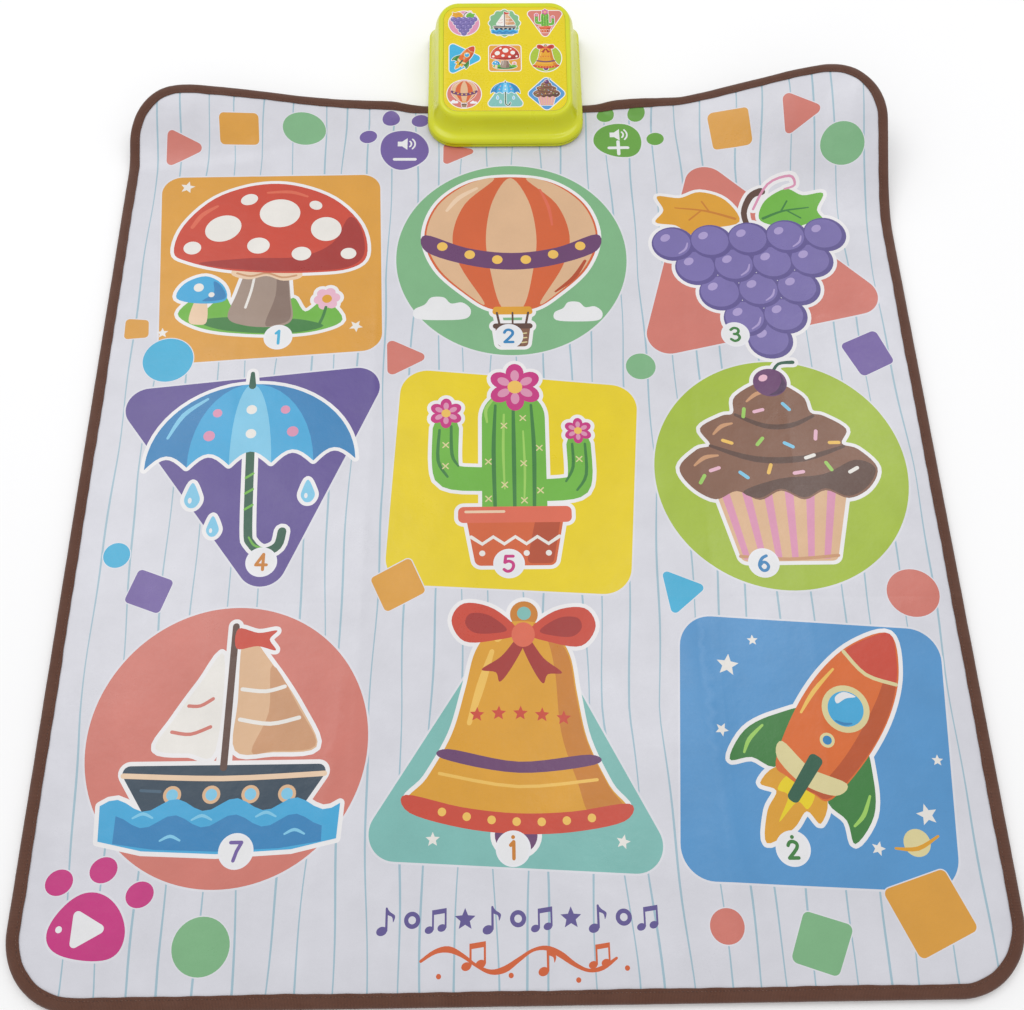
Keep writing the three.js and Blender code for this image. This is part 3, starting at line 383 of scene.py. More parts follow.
def m_cactus():
    a = [(stroke([(-14, -10), (-56, -8), (-64, 4), (-64, 44)], [24, 25, 25, 25]), "leaf", 1),
         (stroke([(14, -22), (52, -20), (61, -10), (61, 26)], [22, 23, 23, 23]), "leaf", 1),
         (rounded([(-30, -46), (30, -46), (30, 84), (-30, 84)], [6, 6, 29.5, 29.5], 10), "leaf", 1),
         (stroke([(-70, 42), (-71, 10), (-62, -7)], [2.6, 3.2, 2.4]), "leaf_d", 0), (stroke([(-59, 46), (-58, 16), (-52, 4)], [2.6, 3.2, 2]), "leaf_d", 0),
         (stroke([(55, 26), (55, 2), (48, -13)], [2.4, 3, 2]), "leaf_d", 0), (stroke([(67, 26), (67, -6), (58, -22)], [2.4, 3, 2.2]), "leaf_d", 0),
         (stroke([(-17, 68), (-19, 20), (-18, -40)], [2.6, 4, 3.2]), "leaf_d", 0), (stroke([(0, 76), (0, 20), (0, -40)], [2.6, 4, 3.2]), "leaf_d", 0),
         (stroke([(17, 68), (19, 20), (18, -40)], [2.6, 4, 3.2]), "leaf_d", 0),
         (stroke([(-25, 50), (-26, 64), (-18, 76)], [2, 3.4, 2]), "leaf_l", 0), (stroke([(-9, 58), (-10, 20), (-9, -20)], [2, 2.6, 1.6]), "leaf_l", 0),
         (stroke([(9, 40), (10, 0), (9, -30)], [1.6, 2.4, 1.6]), "leaf_l", 0)]
    for x, y in ((-9, 46), (9, 54), (-24, 8), (24, 22), (9, 6), (-9, -16), (24, -22), (-24, -30), (9, -32), (-64, 26), (-64, 4), (61, 10)):
        a.append((stroke([(x - 2.6, y - 2.6), (x + 2.6, y + 2.6)], 1.2, smooth=False), "sand", 0))
        a.append((stroke([(x - 2.6, y + 2.6), (x + 2.6, y - 2.6)], 1.2, smooth=False), "sand", 0))

    def flower(cx, cy, r, k=6):
        out = []
        for i in range(k):
            q = math.radians(360 / k * i + 30)
            out.append((ellipse(cx + r * 0.72 * math.cos(q), cy + r * 0.72 * math.sin(q), r * 0.52, r * 0.42, math.degrees(q), 18), "magenta", 1))
        for i in range(k):
            q = math.radians(360 / k * i + 30)
            out.append((ellipse(cx + r * 0.6 * math.cos(q), cy + r * 0.6 * math.sin(q), r * 0.3, r * 0.2, math.degrees(q), 14), "pink", 0))
        out.append((ellipse(cx, cy, r * 0.34, r * 0.34, 0, 18), "amber_l", 0))
        return out
    a += flower(2, 88, 21) + flower(-64, 60, 13) + flower(61, 40, 11)
    a += [(rounded([(-36, -96), (36, -96), (46, -42), (-46, -42)], 6, 5), "orange_red", 1),
          (rounded([(10, -94), (34, -94), (43, -44), (20, -44)], 4, 4), "orange_red_d", 0),
          (rounded([(-52, -54), (52, -54), (52, -38), (-52, -38)], 5, 5), "red_l", 1),
          (stroke([(-45, -43), (-10, -43)], 2.6, smooth=False), "peach_l", 0)]
    zig = [(-40 + 10 * i, -68 - (7 if i % 2 else 0)) for i in range(9)]
    a.append((stroke(zig, 3.4, smooth=False), "cream", 0))
    for i in range(4):
        a.append((ellipse(-30 + 20 * i, -84, 2.8, 2.8, 0, 14), "cream", 0))
    return a


def m_cupcake():
    a = [(rounded([(-42, -88), (42, -88), (60, -18), (-60, -18)], 6, 5), "peach", 1)]
    for k in range(6):
        t0, t1 = (k + 0.15) / 6, (k + 0.55) / 6
        a.append(([(-42 + 84 * t0, -86), (-42 + 84 * t1, -86), (-58 + 116 * t1, -20), (-58 + 116 * t0, -20)], "pink", 0))
    a.append((stroke([(-43, -83), (0, -86), (43, -83)], 3), "peach_d", 0))
    a.append((spline([(-80, -16), (-90, 4), (-73, 22), (-60, 27), (-68, 44), (-47, 57), (-36, 60), (-32, 78), (0, 94), (30, 78),
                      (36, 60), (48, 56), (67, 42), (61, 27), (75, 21), (90, 2), (80, -18), (60, -28), (40, -20), (20, -29), (0, -20),
                      (-20, -29), (-40, -20), (-60, -28)]), "brown_l", 1))
    a.append((spline([(88, 2), (79, -16), (60, -26), (40, -18), (20, -27), (0, -18), (-20, -27), (-34, -20), (0, -8), (40, -4), (70, 10)]), "brown", 0))
    a.append((stroke([(-60, 26), (-20, 12), (24, 12), (62, 24)], [3, 6, 6, 3]), "brown", 0))
    a.append((stroke([(-34, 58), (-8, 46), (16, 46), (38, 56)], [3, 5, 5, 3]), "brown", 0))
    a.append((stroke([(-76, 6), (-66, 14), (-54, 16)], [2, 4, 2]), "peach_d", 0))
    a.append((stroke([(-56, 38), (-48, 46), (-38, 49)], [2, 4, 2]), "peach_d", 0))
    a.append((stroke([(-22, 72), (-12, 80), (0, 83)], [2, 4, 2]), "peach_d", 0))
    rnd = ((-58, 2, 20, "pink_l"), (-32, -4, -40, "azure_l"), (-8, 2, 70, "amber_l"), (18, -2, 10, "pink_l"), (46, 4, -60, "leaf_l"), (68, 0, 30, "cream"),
           (-44, 30, -20, "amber_l"), (-14, 30, 50, "leaf_l"), (12, 26, -30, "azure_l"), (38, 36, 80, "pink_l"), (54, 28, 0, "amber_l"),
           (-12, 62, 15, "pink_l"), (14, 66, -50, "azure_l"), (-26, 60, 80, "leaf_l"), (-70, -8, 60, "leaf_l"), (30, 14, 20, "cream"))
    for x, y, q, ink in rnd:
        u, v = 4.2 * math.cos(math.radians(q)), 4.2 * math.sin(math.radians(q))
        a.append((stroke([(x - u, y - v), (x + u, y + v)], 3.4, smooth=False), ink, 0))
    a += [(stroke([(4, 100), (12, 112), (26, 114)], [3, 3, 4]), "pine", 1), (ellipse(2, 92, 16, 15, 0, 34), "plum", 1),
          (spline([(17, 88), (10, 80), (0, 78.5), (8, 84), (13, 94), (12, 102)]), "plum_d", 0), (ellipse(-4, 97, 4.6, 3.4, 30, 16), "pink_l", 0)]
    return a


def m_boat():
    wave = [(-98 + 196 * i / 28, -56 + 5 * math.sin(i * math.pi / 3.5)) for i in range(29)]
    a = [(rounded([(-88, -24), (-60, -66), (62, -66), (90, -24)], [6, 14, 14, 6], 6), "navy", 1),
         (stroke([(0, -26), (0, 96)], 6, smooth=False), "brown", 1),
         (spline([(8, 88), (34, 62), (62, 22), (76, -10), (40, -14), (8, -12), (7, 30)]), "peach", 1),
         (spline([(34, 61), (60, 22), (75, -9), (40, -13), (22, -13), (34, 20)]), "peach_d", 0),
         (stroke([(10, 40), (30, 38), (46, 42)], 3.4), "cream", 0), (stroke([(10, 14), (36, 10), (60, 15)], 3.4), "cream", 0),
         (spline([(-8, 70), (-26, 46), (-46, 14), (-58, -10), (-30, -14), (-8, -12)]), "cream", 1),
         (stroke([(-14, 32), (-24, 26), (-34, 26)], 3), "coral", 0), (stroke([(-14, 8), (-30, 2), (-46, 4)], 3), "coral", 0),
         (spline([(2, 94), (20, 90), (36, 92), (30, 84), (36, 74), (20, 78), (2, 76)]), "red", 1),
         (stroke([(-82, -32), (0, -35), (84, -32)], 4.4), "peach_l", 0),
         (stroke([(-66, -44), (-50, -45)], 2.4, smooth=False), "navy_l", 0)]
    for x in (-40, -8, 24, 54):
        a.append((ellipse(x, -48, 7.4, 7.4, 0, 22), "peach", 0))
        a.append((ellipse(x, -48, 4.8, 4.8, 0, 20), "azure_l", 0))
    a.append((wave + [(96, -84), (60, -92), (0, -95), (-60, -92), (-96, -84)], "azure", 1))
    a.append(([(x, y - 13) for x, y in wave[2:-2]] + [(84, -86), (50, -91), (0, -93), (-50, -91), (-84, -86)], "azure_d", 0))
    for x, y in ((-62, -66), (-14, -68), (38, -66), (-38, -84), (16, -86), (62, -80)):
        a.append((stroke([(x - 8, y), (x, y + 3.4), (x + 8, y)], [1.6, 2.6, 1.6]), "azure_l", 0))
    return a


def m_bell():
    a = [(ellipse(0, 100, 12, 12, 0, 28), "amber_d", 1), (ellipse(0, 101, 6, 6, 0, 20), "teal", 0),
         (ellipse(0, -84, 17, 15, 0, 30), "plum", 1), (ellipse(-4, -82, 4, 3, 0, 14), "lilac", 0),
         (spline([(0, 94), (24, 88), (40, 66), (47, 32), (56, -6), (74, -42), (88, -62), (44, -72), (0, -75), (-44, -72), (-88, -62),
                  (-74, -42), (-56, -6), (-47, 32), (-40, 66), (-24, 88)], 6), "amber", 1),
         (spline([(8, 92), (23, 87), (39, 65), (46, 31), (55, -6), (73, -42), (86, -61), (60, -67), (48, -40), (34, 0), (28, 50), (20, 80)]), "amber_d", 0),
         (spline([(-90, -56), (-86, -70), (-44, -80), (0, -83), (44, -80), (86, -70), (90, -56), (44, -64), (0, -67), (-44, -64)]), "red", 0),
         (spline([(-58, -18), (0, -26), (58, -18), (62, -26), (0, -35), (-62, -26)], 6), "plum", 0),
         (stroke([(-64, -38), (0, -46), (64, -38)], 2.6), "amber_l", 0),
         (stroke([(-26, 66), (-34, 36), (-42, 4)], [4, 7, 4]), "amber_l", 0), (ellipse(-21, 78, 4, 3, 40, 14), "amber_l", 0)]
    for i in range(7):
        x = -60 + 20 * i
        a.append((ellipse(x, -73.5 + 0.0016 * x * x * 0.9, 3.4, 3.4, 0, 16), "amber_l", 0))
    for i in range(5):
        x = -36 + 18 * i
        a.append((star(x, 14 - 0.002 * x * x, 6.4, 2.9), "red", 0))
    loop = [(-4, 84), (-26, 104), (-52, 108), (-62, 92), (-50, 74), (-24, 76)]
    tail = [(-4, 80), (-18, 62), (-34, 50), (-22, 48), (-18, 40), (-8, 54), (2, 76)]
    for f in (lambda p: p, flip):
        a.append((spline(f(tail)), "red_d", 1))
        a.append((spline(f(loop)), "red", 1))
        a.append((spline(f([(-14, 86), (-30, 98), (-46, 99), (-50, 90), (-42, 82), (-26, 82)])), "red_d", 0))
    a.append((ellipse(0, 82, 10, 11, 0, 24), "red_l", 1))
    return a


def m_rocket():
    a = [(spline([(-20, -40), (-28, -62), (-14, -60), (-12, -78), (0, -100), (12, -78), (14, -60), (28, -62), (20, -40)]), "amber", 1),
         (spline([(-11, -42), (-14, -58), (-4, -58), (0, -80), (4, -58), (14, -58), (11, -42)]), "yellow", 0)]
    fin = [(24, 14), (46, -6), (60, -32), (58, -60), (44, -48), (22, -40)]
    for f in (lambda p: p, flip):
        a.append((spline(f(fin)), "leaf_d", 1))
        a.append((stroke(f([(50, -20), (53, -36), (51, -48)]), [2, 3.4, 2]), "leaf_l", 0))
    a += [(spline([(0, 112), (22, 86), (33, 48), (34, 4), (26, -40), (12, -45), (-12, -45), (-26, -40), (-34, 4), (-33, 48), (-22, 86)], 6), "ember", 1),
          (spline([(6, 104), (21, 85), (32, 48), (33, 4), (25, -39), (12, -44), (4, -44), (14, -30), (19, 4), (18, 50), (12, 84)]), "ember_d", 0),
          (spline([(0, 112), (14, 97), (24, 76), (12, 71), (0, 69), (-12, 71), (-24, 76), (-14, 97)]), "red", 0),
          (stroke([(-25, 75), (0, 68), (25, 75)], 3.2), "sand", 0),
          (spline([(-30, -22), (0, -28), (30, -22), (27, -36), (0, -43), (-27, -36)]), "sand", 0),
          (ellipse(0, 32, 20, 20, 0, 36), "sand", 0), (ellipse(0, 32, 15, 15, 0, 34), "azure", 0),
          (spline([(-12, 36), (-8, 44), (2, 46), (-4, 40), (-8, 32)]), "white", 0), (stroke([(10, 24), (5, 20), (-2, 18.4)], [1.4, 2.6, 1.4]), "azure_d", 0),
          (ellipse(0, 0, 6.2, 6.2, 0, 20), "sand", 0), (ellipse(0, 0, 3.8, 3.8, 0, 18), "azure_d", 0),
          (rounded([(-5, -60), (5, -60), (6, -16), (-6, -16)], 4, 5), "pine", 1),
          (stroke([(-25, 56), (-29, 30), (-29, 8)], [2, 3.6, 2]), "amber_l", 0)]
    return a


def sprinkle(cx, cy, spots):
    return [(star(cx + x, cy + y, r, r * 0.45, 5, q), "cream", 0) for x, y, r, q in spots]


# ------------------------------------------------------------------ numerals and signs, drawn as strokes
NUMERAL = {
    "1": [[(0.28, 1.12), (0.55, 1.4), (0.55, 0.0)]],
    "2": [[(0.08, 1.1), (0.22, 1.34), (0.5, 1.42), (0.82, 1.26), (0.86, 0.96), (0.62, 0.6), (0.1, 0.04)], [(0.1, 0.04), (0.9, 0.04)]],
    "3": [[(0.1, 1.22), (0.4, 1.42), (0.76, 1.32), (0.82, 1.02), (0.62, 0.78), (0.38, 0.75)],
          [(0.38, 0.75), (0.72, 0.68), (0.88, 0.38), (0.7, 0.08), (0.36, -0.02), (0.06, 0.18)]],
    "4": [[(0.66, 0.0), (0.66, 1.42), (0.04, 0.44), (0.96, 0.44)]],
    "5": [[(0.86, 1.38), (0.22, 1.38), (0.14, 0.8)], [(0.14, 0.8), (0.46, 0.92), (0.8, 0.78), (0.88, 0.44), (0.68, 0.08), (0.34, -0.02), (0.06, 0.16)]],
    "6": [[(0.78, 1.36), (0.42, 1.16), (0.16, 0.74), (0.12, 0.36), (0.34, 0.02), (0.68, 0.04), (0.88, 0.36), (0.72, 0.7), (0.42, 0.76), (0.16, 0.5)]],
    "7": [[(0.06, 1.36), (0.9, 1.36), (0.56, 0.7), (0.34, 0.0)]],
}
SHARP = {"1", "4", "7"}


def numeral(ch, cx, cy, h, w, ink):
    out = []
    for line in NUMERAL[ch]:
        pts = [(cx + (x - 0.5) * h / 1.4, cy + (y - 0.7) * h / 1.4) for x, y in line]
        straight = ch in SHARP or (ch == "2" and len(line) == 2) or (ch == "5" and len(line) == 3)
        if straight:
            for p, q in zip(pts[:-1], pts[1:]):
                out.append((stroke([p, q], w, smooth=False), ink, 0))
        else:
            out.append((stroke(pts, w), ink, 0))
    return out


def speaker_sign(cx, cy, s, ink):
    a = [([(cx - 9 * s, cy - 3.4 * s), (cx - 4 * s, cy - 3.4 * s), (cx + 2 * s, cy - 8.4 * s), (cx + 2 * s, cy + 8.4 * s),
           (cx - 4 * s, cy + 3.4 * s), (cx - 9 * s, cy + 3.4 * s)], ink, 0)]
    for r in (5.4, 9.6):
        a.append((stroke([(cx + 1 * s + r * s * math.cos(q), cy + r * s * math.sin(q)) for q in (-0.8, -0.4, 0, 0.4, 0.8)], 1.9 * s), ink, 0))
    return a


def note_sign(cx, cy, s, ink, pair=False):
    a = [(ellipse(cx - 3 * s, cy - 8 * s, 4.4 * s, 3.4 * s, 20, 20), ink, 0),
         (stroke([(cx + 0.7 * s, cy - 7.4 * s), (cx + 0.7 * s, cy + 9 * s)], 1.9 * s, smooth=False), ink, 0)]
    if pair:
        a += [(ellipse(cx + 9.4 * s, cy - 6.2 * s, 4.4 * s, 3.4 * s, 20, 20), ink, 0),
              (stroke([(cx + 13.1 * s, cy - 5.6 * s), (cx + 13.1 * s, cy + 11 * s)], 1.9 * s, smooth=False), ink, 0),
              ([(cx - 0.25 * s, cy + 5.6 * s), (cx + 14.0 * s, cy + 7.6 * s), (cx + 14.0 * s, cy + 12.2 * s), (cx - 0.25 * s, cy + 10.2 * s)], ink, 0)]
    else:
        a.append((spline([(cx + 0.2 * s, cy + 10 * s), (cx + 3.5 * s, cy + 6.5 * s), (cx + 7.5 * s, cy + 3.5 * s), (cx + 6 * s, cy - 1.4 * s),
                          (cx + 5 * s, cy + 2.6 * s), (cx + 0.4 * s, cy + 5 * s)]), ink, 0))
    return a


# ------------------------------------------------------------------ touch zones, as in the CAD
ZONES = {
    "pad_1": ("mat", "touch_pad_1", "orange", rounded([(-341, 122.5), (-124, 137.5), (-133.5, 354.5), (-363, 352)], 20, 12)),
    "pad_2": ("mat", "touch_pad_2", "green", ellipse(4, 247.5, 117.5, 117.5, 0, 120)),
    "pad_3": ("mat", "touch_pad_3", "coral", rounded([(127, 122.5), (393, 184), (200, 383)], 22, 16)),
    "pad_4": ("mat", "touch_pad_4", "violet_s", rounded([(-385, 92), (-219, -129), (-112, 121)], 22, 16)),
    "pad_5": ("mat", "touch_pad_5", "yellow", rounded([(-115, -106), (104.5, -119.5), (123.5, 93), (-104, 116)], 26, 12)),
    "pad_6": ("mat", "touch_pad_6", "lime", ellipse(252, 1.6, 118.3, 118.3, 0, 120)),
    "pad_7": ("front_flap", "touch_pad_7", "coral", ellipse(-240.8, -244.6, 117.6, 117.6, 0, 120)),
    "pad_8": ("front_flap", "touch_pad_8", "teal", rounded([(-136.5, -340.5), (133, -357), (8.5, -112)], 22, 16)),
    "pad_9": ("front_flap", "touch_pad_9", "blue", rounded([(130, -360), (353, -373), (373, -155), (146.5, -138)], 28, 12)),
    "volume_down_key": ("mat", "volume_down", "violet", spline(eased([(-131, 406), (-135, 395), (-135, 381), (-129, 370), (-119, 361), (-110, 359), (-100, 364),
                        (-90, 369), (-83, 378), (-81, 389), (-86, 403), (-95, 412), (-109, 416), (-124, 413)]), 4)),
    "volume_up_key": ("mat", "volume_up", "key_green", spline(eased([(101, 416), (95, 407), (92, 394), (101, 385), (111, 378), (123, 376), (135, 375), (144, 382),
                      (148, 397), (145, 412), (136, 421), (123, 424), (110, 421)]), 4)),
    "game_key": ("front_flap", "game", "magenta", spline(eased([(-343, -362), (-352, -367), (-359, -374), (-365, -382), (-369, -391), (-368, -398), (-364, -405),
                 (-356, -409), (-345, -412), (-329, -414), (-317, -413), (-311, -409), (-307, -402), (-306, -392), (-309, -383), (-315, -373),
                 (-323, -366), (-333, -362)]), 3)),
}
ZONES = {k: (a, b, c, ccw(p)) for k, (a, b, c, p) in ZONES.items()}

# ------------------------------------------------------------------ everything printed on the cover, back to front
rnd = np.random.RandomState(11)
art = []
STRIPES = [(-371, -368, -369, -366, -352), (-345, -341, -345, -336, -325), (-316, -317, -312, -307, -300), (-289, -284, -282, -284, -276),
           (-258, -262, -252, -250, -249), (-227, -224, -229, -226, -220), (-194, -192, -190, -186, -196), (-171, -176, -168, -164, -172),
           (-149, -146, -151, -150, -143), (-119, -124, -118, -124, -117), (-97, -92, -99, -95, -94), (-72, -70, -66, -72, -77),
           (-46, -50, -43, -45, -50), (-20, -16, -22, -24, -14), (7, 3, 9, 12, 6), (34, 38, 30, 25, 22), (60, 57, 62, 62, 61),
           (87, 83, 80, 76, 92), (108, 112, 110, 96, 113), (135, 131, 136, 122, 136), (160, 157, 164, 156, 166), (183, 187, 184, 180, 186),
           (212, 206, 210, 201, 207), (246, 244, 240, 232, 229), (272, 268, 270, 262, 262), (300, 297, 294, 292, 286), (322, 325, 318, 314, 310),
           (343, 346, 348, 344, 340), (374, 372, 376, 373, 370)]
for xs in STRIPES:
    ys = np.linspace(446, -446, 64)
    base = np.interp(ys, [-440, -225, 0, 220, 440], xs[::-1])
    ph = rnd.uniform(0, 6.28, 3)
    base = base + 1.3 * np.sin(ys / 61 + ph[0]) + 0.7 * np.sin(ys / 23 + ph[1])
    w = 1.5 + 0.4 * np.sin(ys / 37 + ph[2])
    art.append((stroke(list(zip(base, ys)), list(w), cap=3, smooth=False), "stripe", 0))


def shape(pts, ink, halo=0.9):
    art.append((grown(pts, halo), "edge", 0))
    art.append((list(pts), ink, 0))


def tri(pts, ink, r=5):
    shape(rounded(ccw(pts), r, 6), ink)


tri([(-359, 405.5), (-316.5, 387), (-361, 365.5)], "coral")
shape(rounded(ccw([(-305, 421), (-264, 423.3), (-263, 391.5), (-304, 390.8)]), 5, 6), "orange")
shape(ellipse(-216.2, 412.6, 22.6, 17.6), "green")
shape(rounded(ccw([(216.5, 423.8), (258, 420), (263, 382.5), (223, 384.5)]), 5, 6), "orange")
tri([(292, 428), (295, 381), (334, 401.5)], "coral")
shape(ellipse(351.6, 367, 22.8, 20.2), "green")
shape(rounded(ccw([(-379, 176), (-356, 174), (-354, 154), (-378, 152)]), 4, 5), "orange")
tri([(-120, 151), (-77, 129), (-118, 106)], "coral")
shape(ellipse(128, 116, 14.5, 14.5), "green")
shape(rounded(ccw([(326, 139), (363, 156), (377, 119), (343, 102)]), 5, 6), "violet")
tri([(-67, 397), (-28, 387), (-67, 366)], "coral", 4)
shape(ellipse(-355, -76, 12, 12), "sky")
shape(rounded(ccw([(-333, -89), (-301, -101), (-311, -132), (-343, -120)]), 4, 5), "violet")
tri([(133, -95), (173, -112), (140, -140)], "sky", 4)
shape(ellipse(356, -120, 23.5, 22.5), "coral")
shape(ellipse(-247, -404, 22.5, 22), "green")
shape(ellipse(164, -395, 13.5, 13.5), "coral")
shape(rounded(ccw([(226, -384), (264, -396), (247, -433), (211, -421)]), 5, 6), "green")
for name, (_, _, ink, pts) in ZONES.items():
    art.append((grown(pts, 1.7), "edge", 0))
for name, (_, _, ink, pts) in ZONES.items():
    art.append((list(pts), ink, 0))
shape(rounded(ccw([(-127, -101), (-92, -81), (-77, -114), (-112, -133)]), 4, 5), "orange")
shape(ellipse(-332, 128, 24.5, 24.5), "sky")
shape(rounded(ccw([(290, -370), (342, -354), (362, -400), (313, -422)]), 5, 6), "orange")

# paw toes
for x, y, r, ink in ((-92.5, 428.5, 9, "violet"), (-124, 430, 9, "violet"), (-148, 406, 9, "violet"), (161.4, 401.3, 9, "key_green"),
                     (142.4, 434, 9, "key_green"), (109, 434, 9, "key_green"), (-299, -365, 10.5, "magenta"), (-330, -346, 10.5, "magenta"),
                     (-364, -355, 10.5, "magenta")):
    shape(ellipse(x, y, r * 1.06, r * 0.94, 20, 28), ink, 0.9)


def add_motif(parts, halo=3.6):
    for pts, ink, outer in parts:
        if outer:
            art.append((grown(pts, halo), "halo", 0))
    art.extend(parts)


MOTIFS = [m_toadstool(), m_balloon(), m_grapes(), m_umbrella(), m_cactus(), m_cupcake(), m_boat(), m_bell(), m_rocket()]
PLACE = [(-243, 243, 1.0, -3), (4, 246, 1.04, 0), (252, 232, 1.04, 4), (-243, 12, 1.0, 3), (3, 6, 1.0, 0), (250, 2, 1.03, 0),
         (-242, -240, 1.0, 0), (4, -238, 1.02, -3), (262, -250, 1.02, -36)]
art += sprinkle(-243, 243, ((-92, 96, 8, 80), (92, -78, 7, 60), (-98, -84, 6, 95)))
art += sprinkle(262, -250, ((-78, 66, 10, 80), (-88, 10, 6, 60), (-54, 88, 5, 90), (74, -62, 9, 100), (30, -88, 6, 70), (90, -18, 5, 85)))
art.append((ellipse(262 + 62, -250 - 84, 11, 11, 0, 26), "sand", 0))
art.append((stroke([(262 + 44, -250 - 88), (262 + 62, -250 - 88.5), (262 + 80, -250 - 79)], [2, 3.4, 2]), "amber", 0))
art += sprinkle(4, -238, ((-72, -88, 6, 90), (82, -92, 6, 75), (-46, -12, 0.01, 0)))[:2]
for m, (cx, cy, s, rot) in zip(MOTIFS, PLACE):
    add_motif(placed(m, cx, cy, s, rot))

# round number plates
PLATES = [("1", -227, 153, "sky"), ("2", 0, 152, "azure_d"), ("3", 224, 152, "leaf_d"), ("4", -225, -84, "amber_d"), ("5", -3, -88, "magenta"),
          ("6", 226, -90, "azure_d"), ("7", -226, -333, "violet"), ("1", -3, -334, "amber_d"), ("2", 223, -337, "leaf_d")]
for i, (ch, x, y, ink) in enumerate(PLATES):
    art.append((ellipse(x, y, 14.2, 14.2, 0, 40), "rim", 0))
    art.append((ellipse(x, y, 12.6, 12.6, 0, 40), "white", 0))
    art += numeral(ch, x, y - (1.2 if i > 6 else 0), 13.0 if i > 6 else 14.5, 2.9, ink)
    if i > 6:
        art.append((ellipse(x, y + 9.0, 1.6, 1.6, 0, 14), ink, 0))

# signs on the three keys
art += speaker_sign(-107.5, 396, 0.95, "white")
art.append((stroke([(-119, 375), (-97, 375)], 3.6, smooth=False), "white", 0))
art += speaker_sign(121, 407, 0.95, "white")
art.append((stroke([(111, 389), (131, 389)], 3.6, smooth=False), "white", 0))
art.append((stroke([(121, 380.5), (121, 397.5)], 3.6, smooth=False), "white", 0))
art.append((rounded(ccw([(-349, -374), (-320, -390), (-349, -406)]), 3.5, 5), "white", 0))
art.append((ellipse(-359, -390, 2.6, 2.6, 0, 16), "white", 0))

# border of plain figures in front of the third row
glyphs = 11
for i in range(glyphs):
    x, y = -104 + 20.8 * i, -387 + 0.4 * i * 0
    kind = i % 4
    if kind == 0:
        art += note_sign(x, y, 0.98, "purple_d")
    elif kind == 1:
        art.append((ellipse(x, y, 6.4, 6.4, 0, 26), "purple_d", 0))
        art.append((ellipse(x, y, 3.0, 3.0, 0, 18), "ground", 0))
    elif kind == 2:
        art += note_sign(x - 5, y - 1, 0.8, "purple_d", True)
    else:
        art.append((star(x, y, 8.6, 3.9), "purple_d", 0))
swash = [(-76 + 152 * t / 14, -417 + 8.5 * math.sin(t * 0.9) - 0.0 * t) for t in range(15)]
art.append((stroke(swash, [2.2, 3.4, 4.8, 3.2, 2.4, 3.6, 4.8, 3.4, 2.4, 3.6, 4.8, 3.4, 2.6, 3.4, 2.0]), "orange_red", 0))
art += note_sign(-38, -414, 0.9, "orange_red", True)
art += note_sign(22, -418, 0.95, "orange_red")
art += note_sign(60, -415, 0.8, "orange_red", True)
for x, y in ((-62, -428), (-6, -428), (46, -432), (84, -424)):
    art.append((ellipse(x, y, 2.0, 2.0, 0, 16), "orange_red", 0))


# ------------------------------------------------------------------ plan triangulation
def grid_points(x0, x1, y0, y1, step):
    out, row = [], 0
    y = y0
    while y < y1:
        x = x0 + (step / 2 if row % 2 else 0)
        while x < x1:
            out.append((x, y))
            x += step
        y += step * 0.866
        row += 1
    return out


def triangulate(loops, lines, points):
    verts, edges = [], []
    for loop in loops:
        base, last, ring = len(verts), None, []
        for p in loop:
            if last is None or math.hypot(p[0] - last[0], p[1] - last[1]) > 0.02:
                ring.append(p)
                last = p
        if len(ring) > 2 and math.hypot(ring[0][0] - ring[-1][0], ring[0][1] - ring[-1][1]) <= 0.02:
            ring.pop()
        verts += ring
        edges += [(base + i, base + (i + 1) % len(ring)) for i in range(len(ring))]
    for line in lines:
        base = len(verts)
        verts += line
        edges += [(base + i, base + i + 1) for i in range(len(line) - 1)]
    verts += points
    vs, _, fs, _, _, _ = delaunay_2d_cdt([Vector((float(p[0]), float(p[1]))) for p in verts], edges, [], 0, 1e-3)
    return np.array([tuple(v) for v in vs], float), np.array([f for f in fs if len(f) == 3], int)


def inside(points, pts):
    """Which points lie inside an outline, by its winding."""
    p = np.array(pts, float)
    lo, hi = p.min(0), p.max(0)
    hit = np.zeros(len(points), bool)
    near = np.flatnonzero((points[:, 0] >= lo[0]) & (points[:, 0] <= hi[0]) & (points[:, 1] >= lo[1]) & (points[:, 1] <= hi[1]))
    if not len(near):
        return hit
    x, y = points[near, 0], points[near, 1]
    wind = np.zeros(len(near), int)
    for a, b in zip(p, np.roll(p, -1, axis=0)):
        left = (b[0] - a[0]) * (y - a[1]) - (x - a[0]) * (b[1] - a[1])
        wind += ((a[1] <= y) & (b[1] > y) & (left > 0)).astype(int)
        wind -= ((a[1] > y) & (b[1] <= y) & (left < 0)).astype(int)
    hit[near] = wind != 0
    return hit


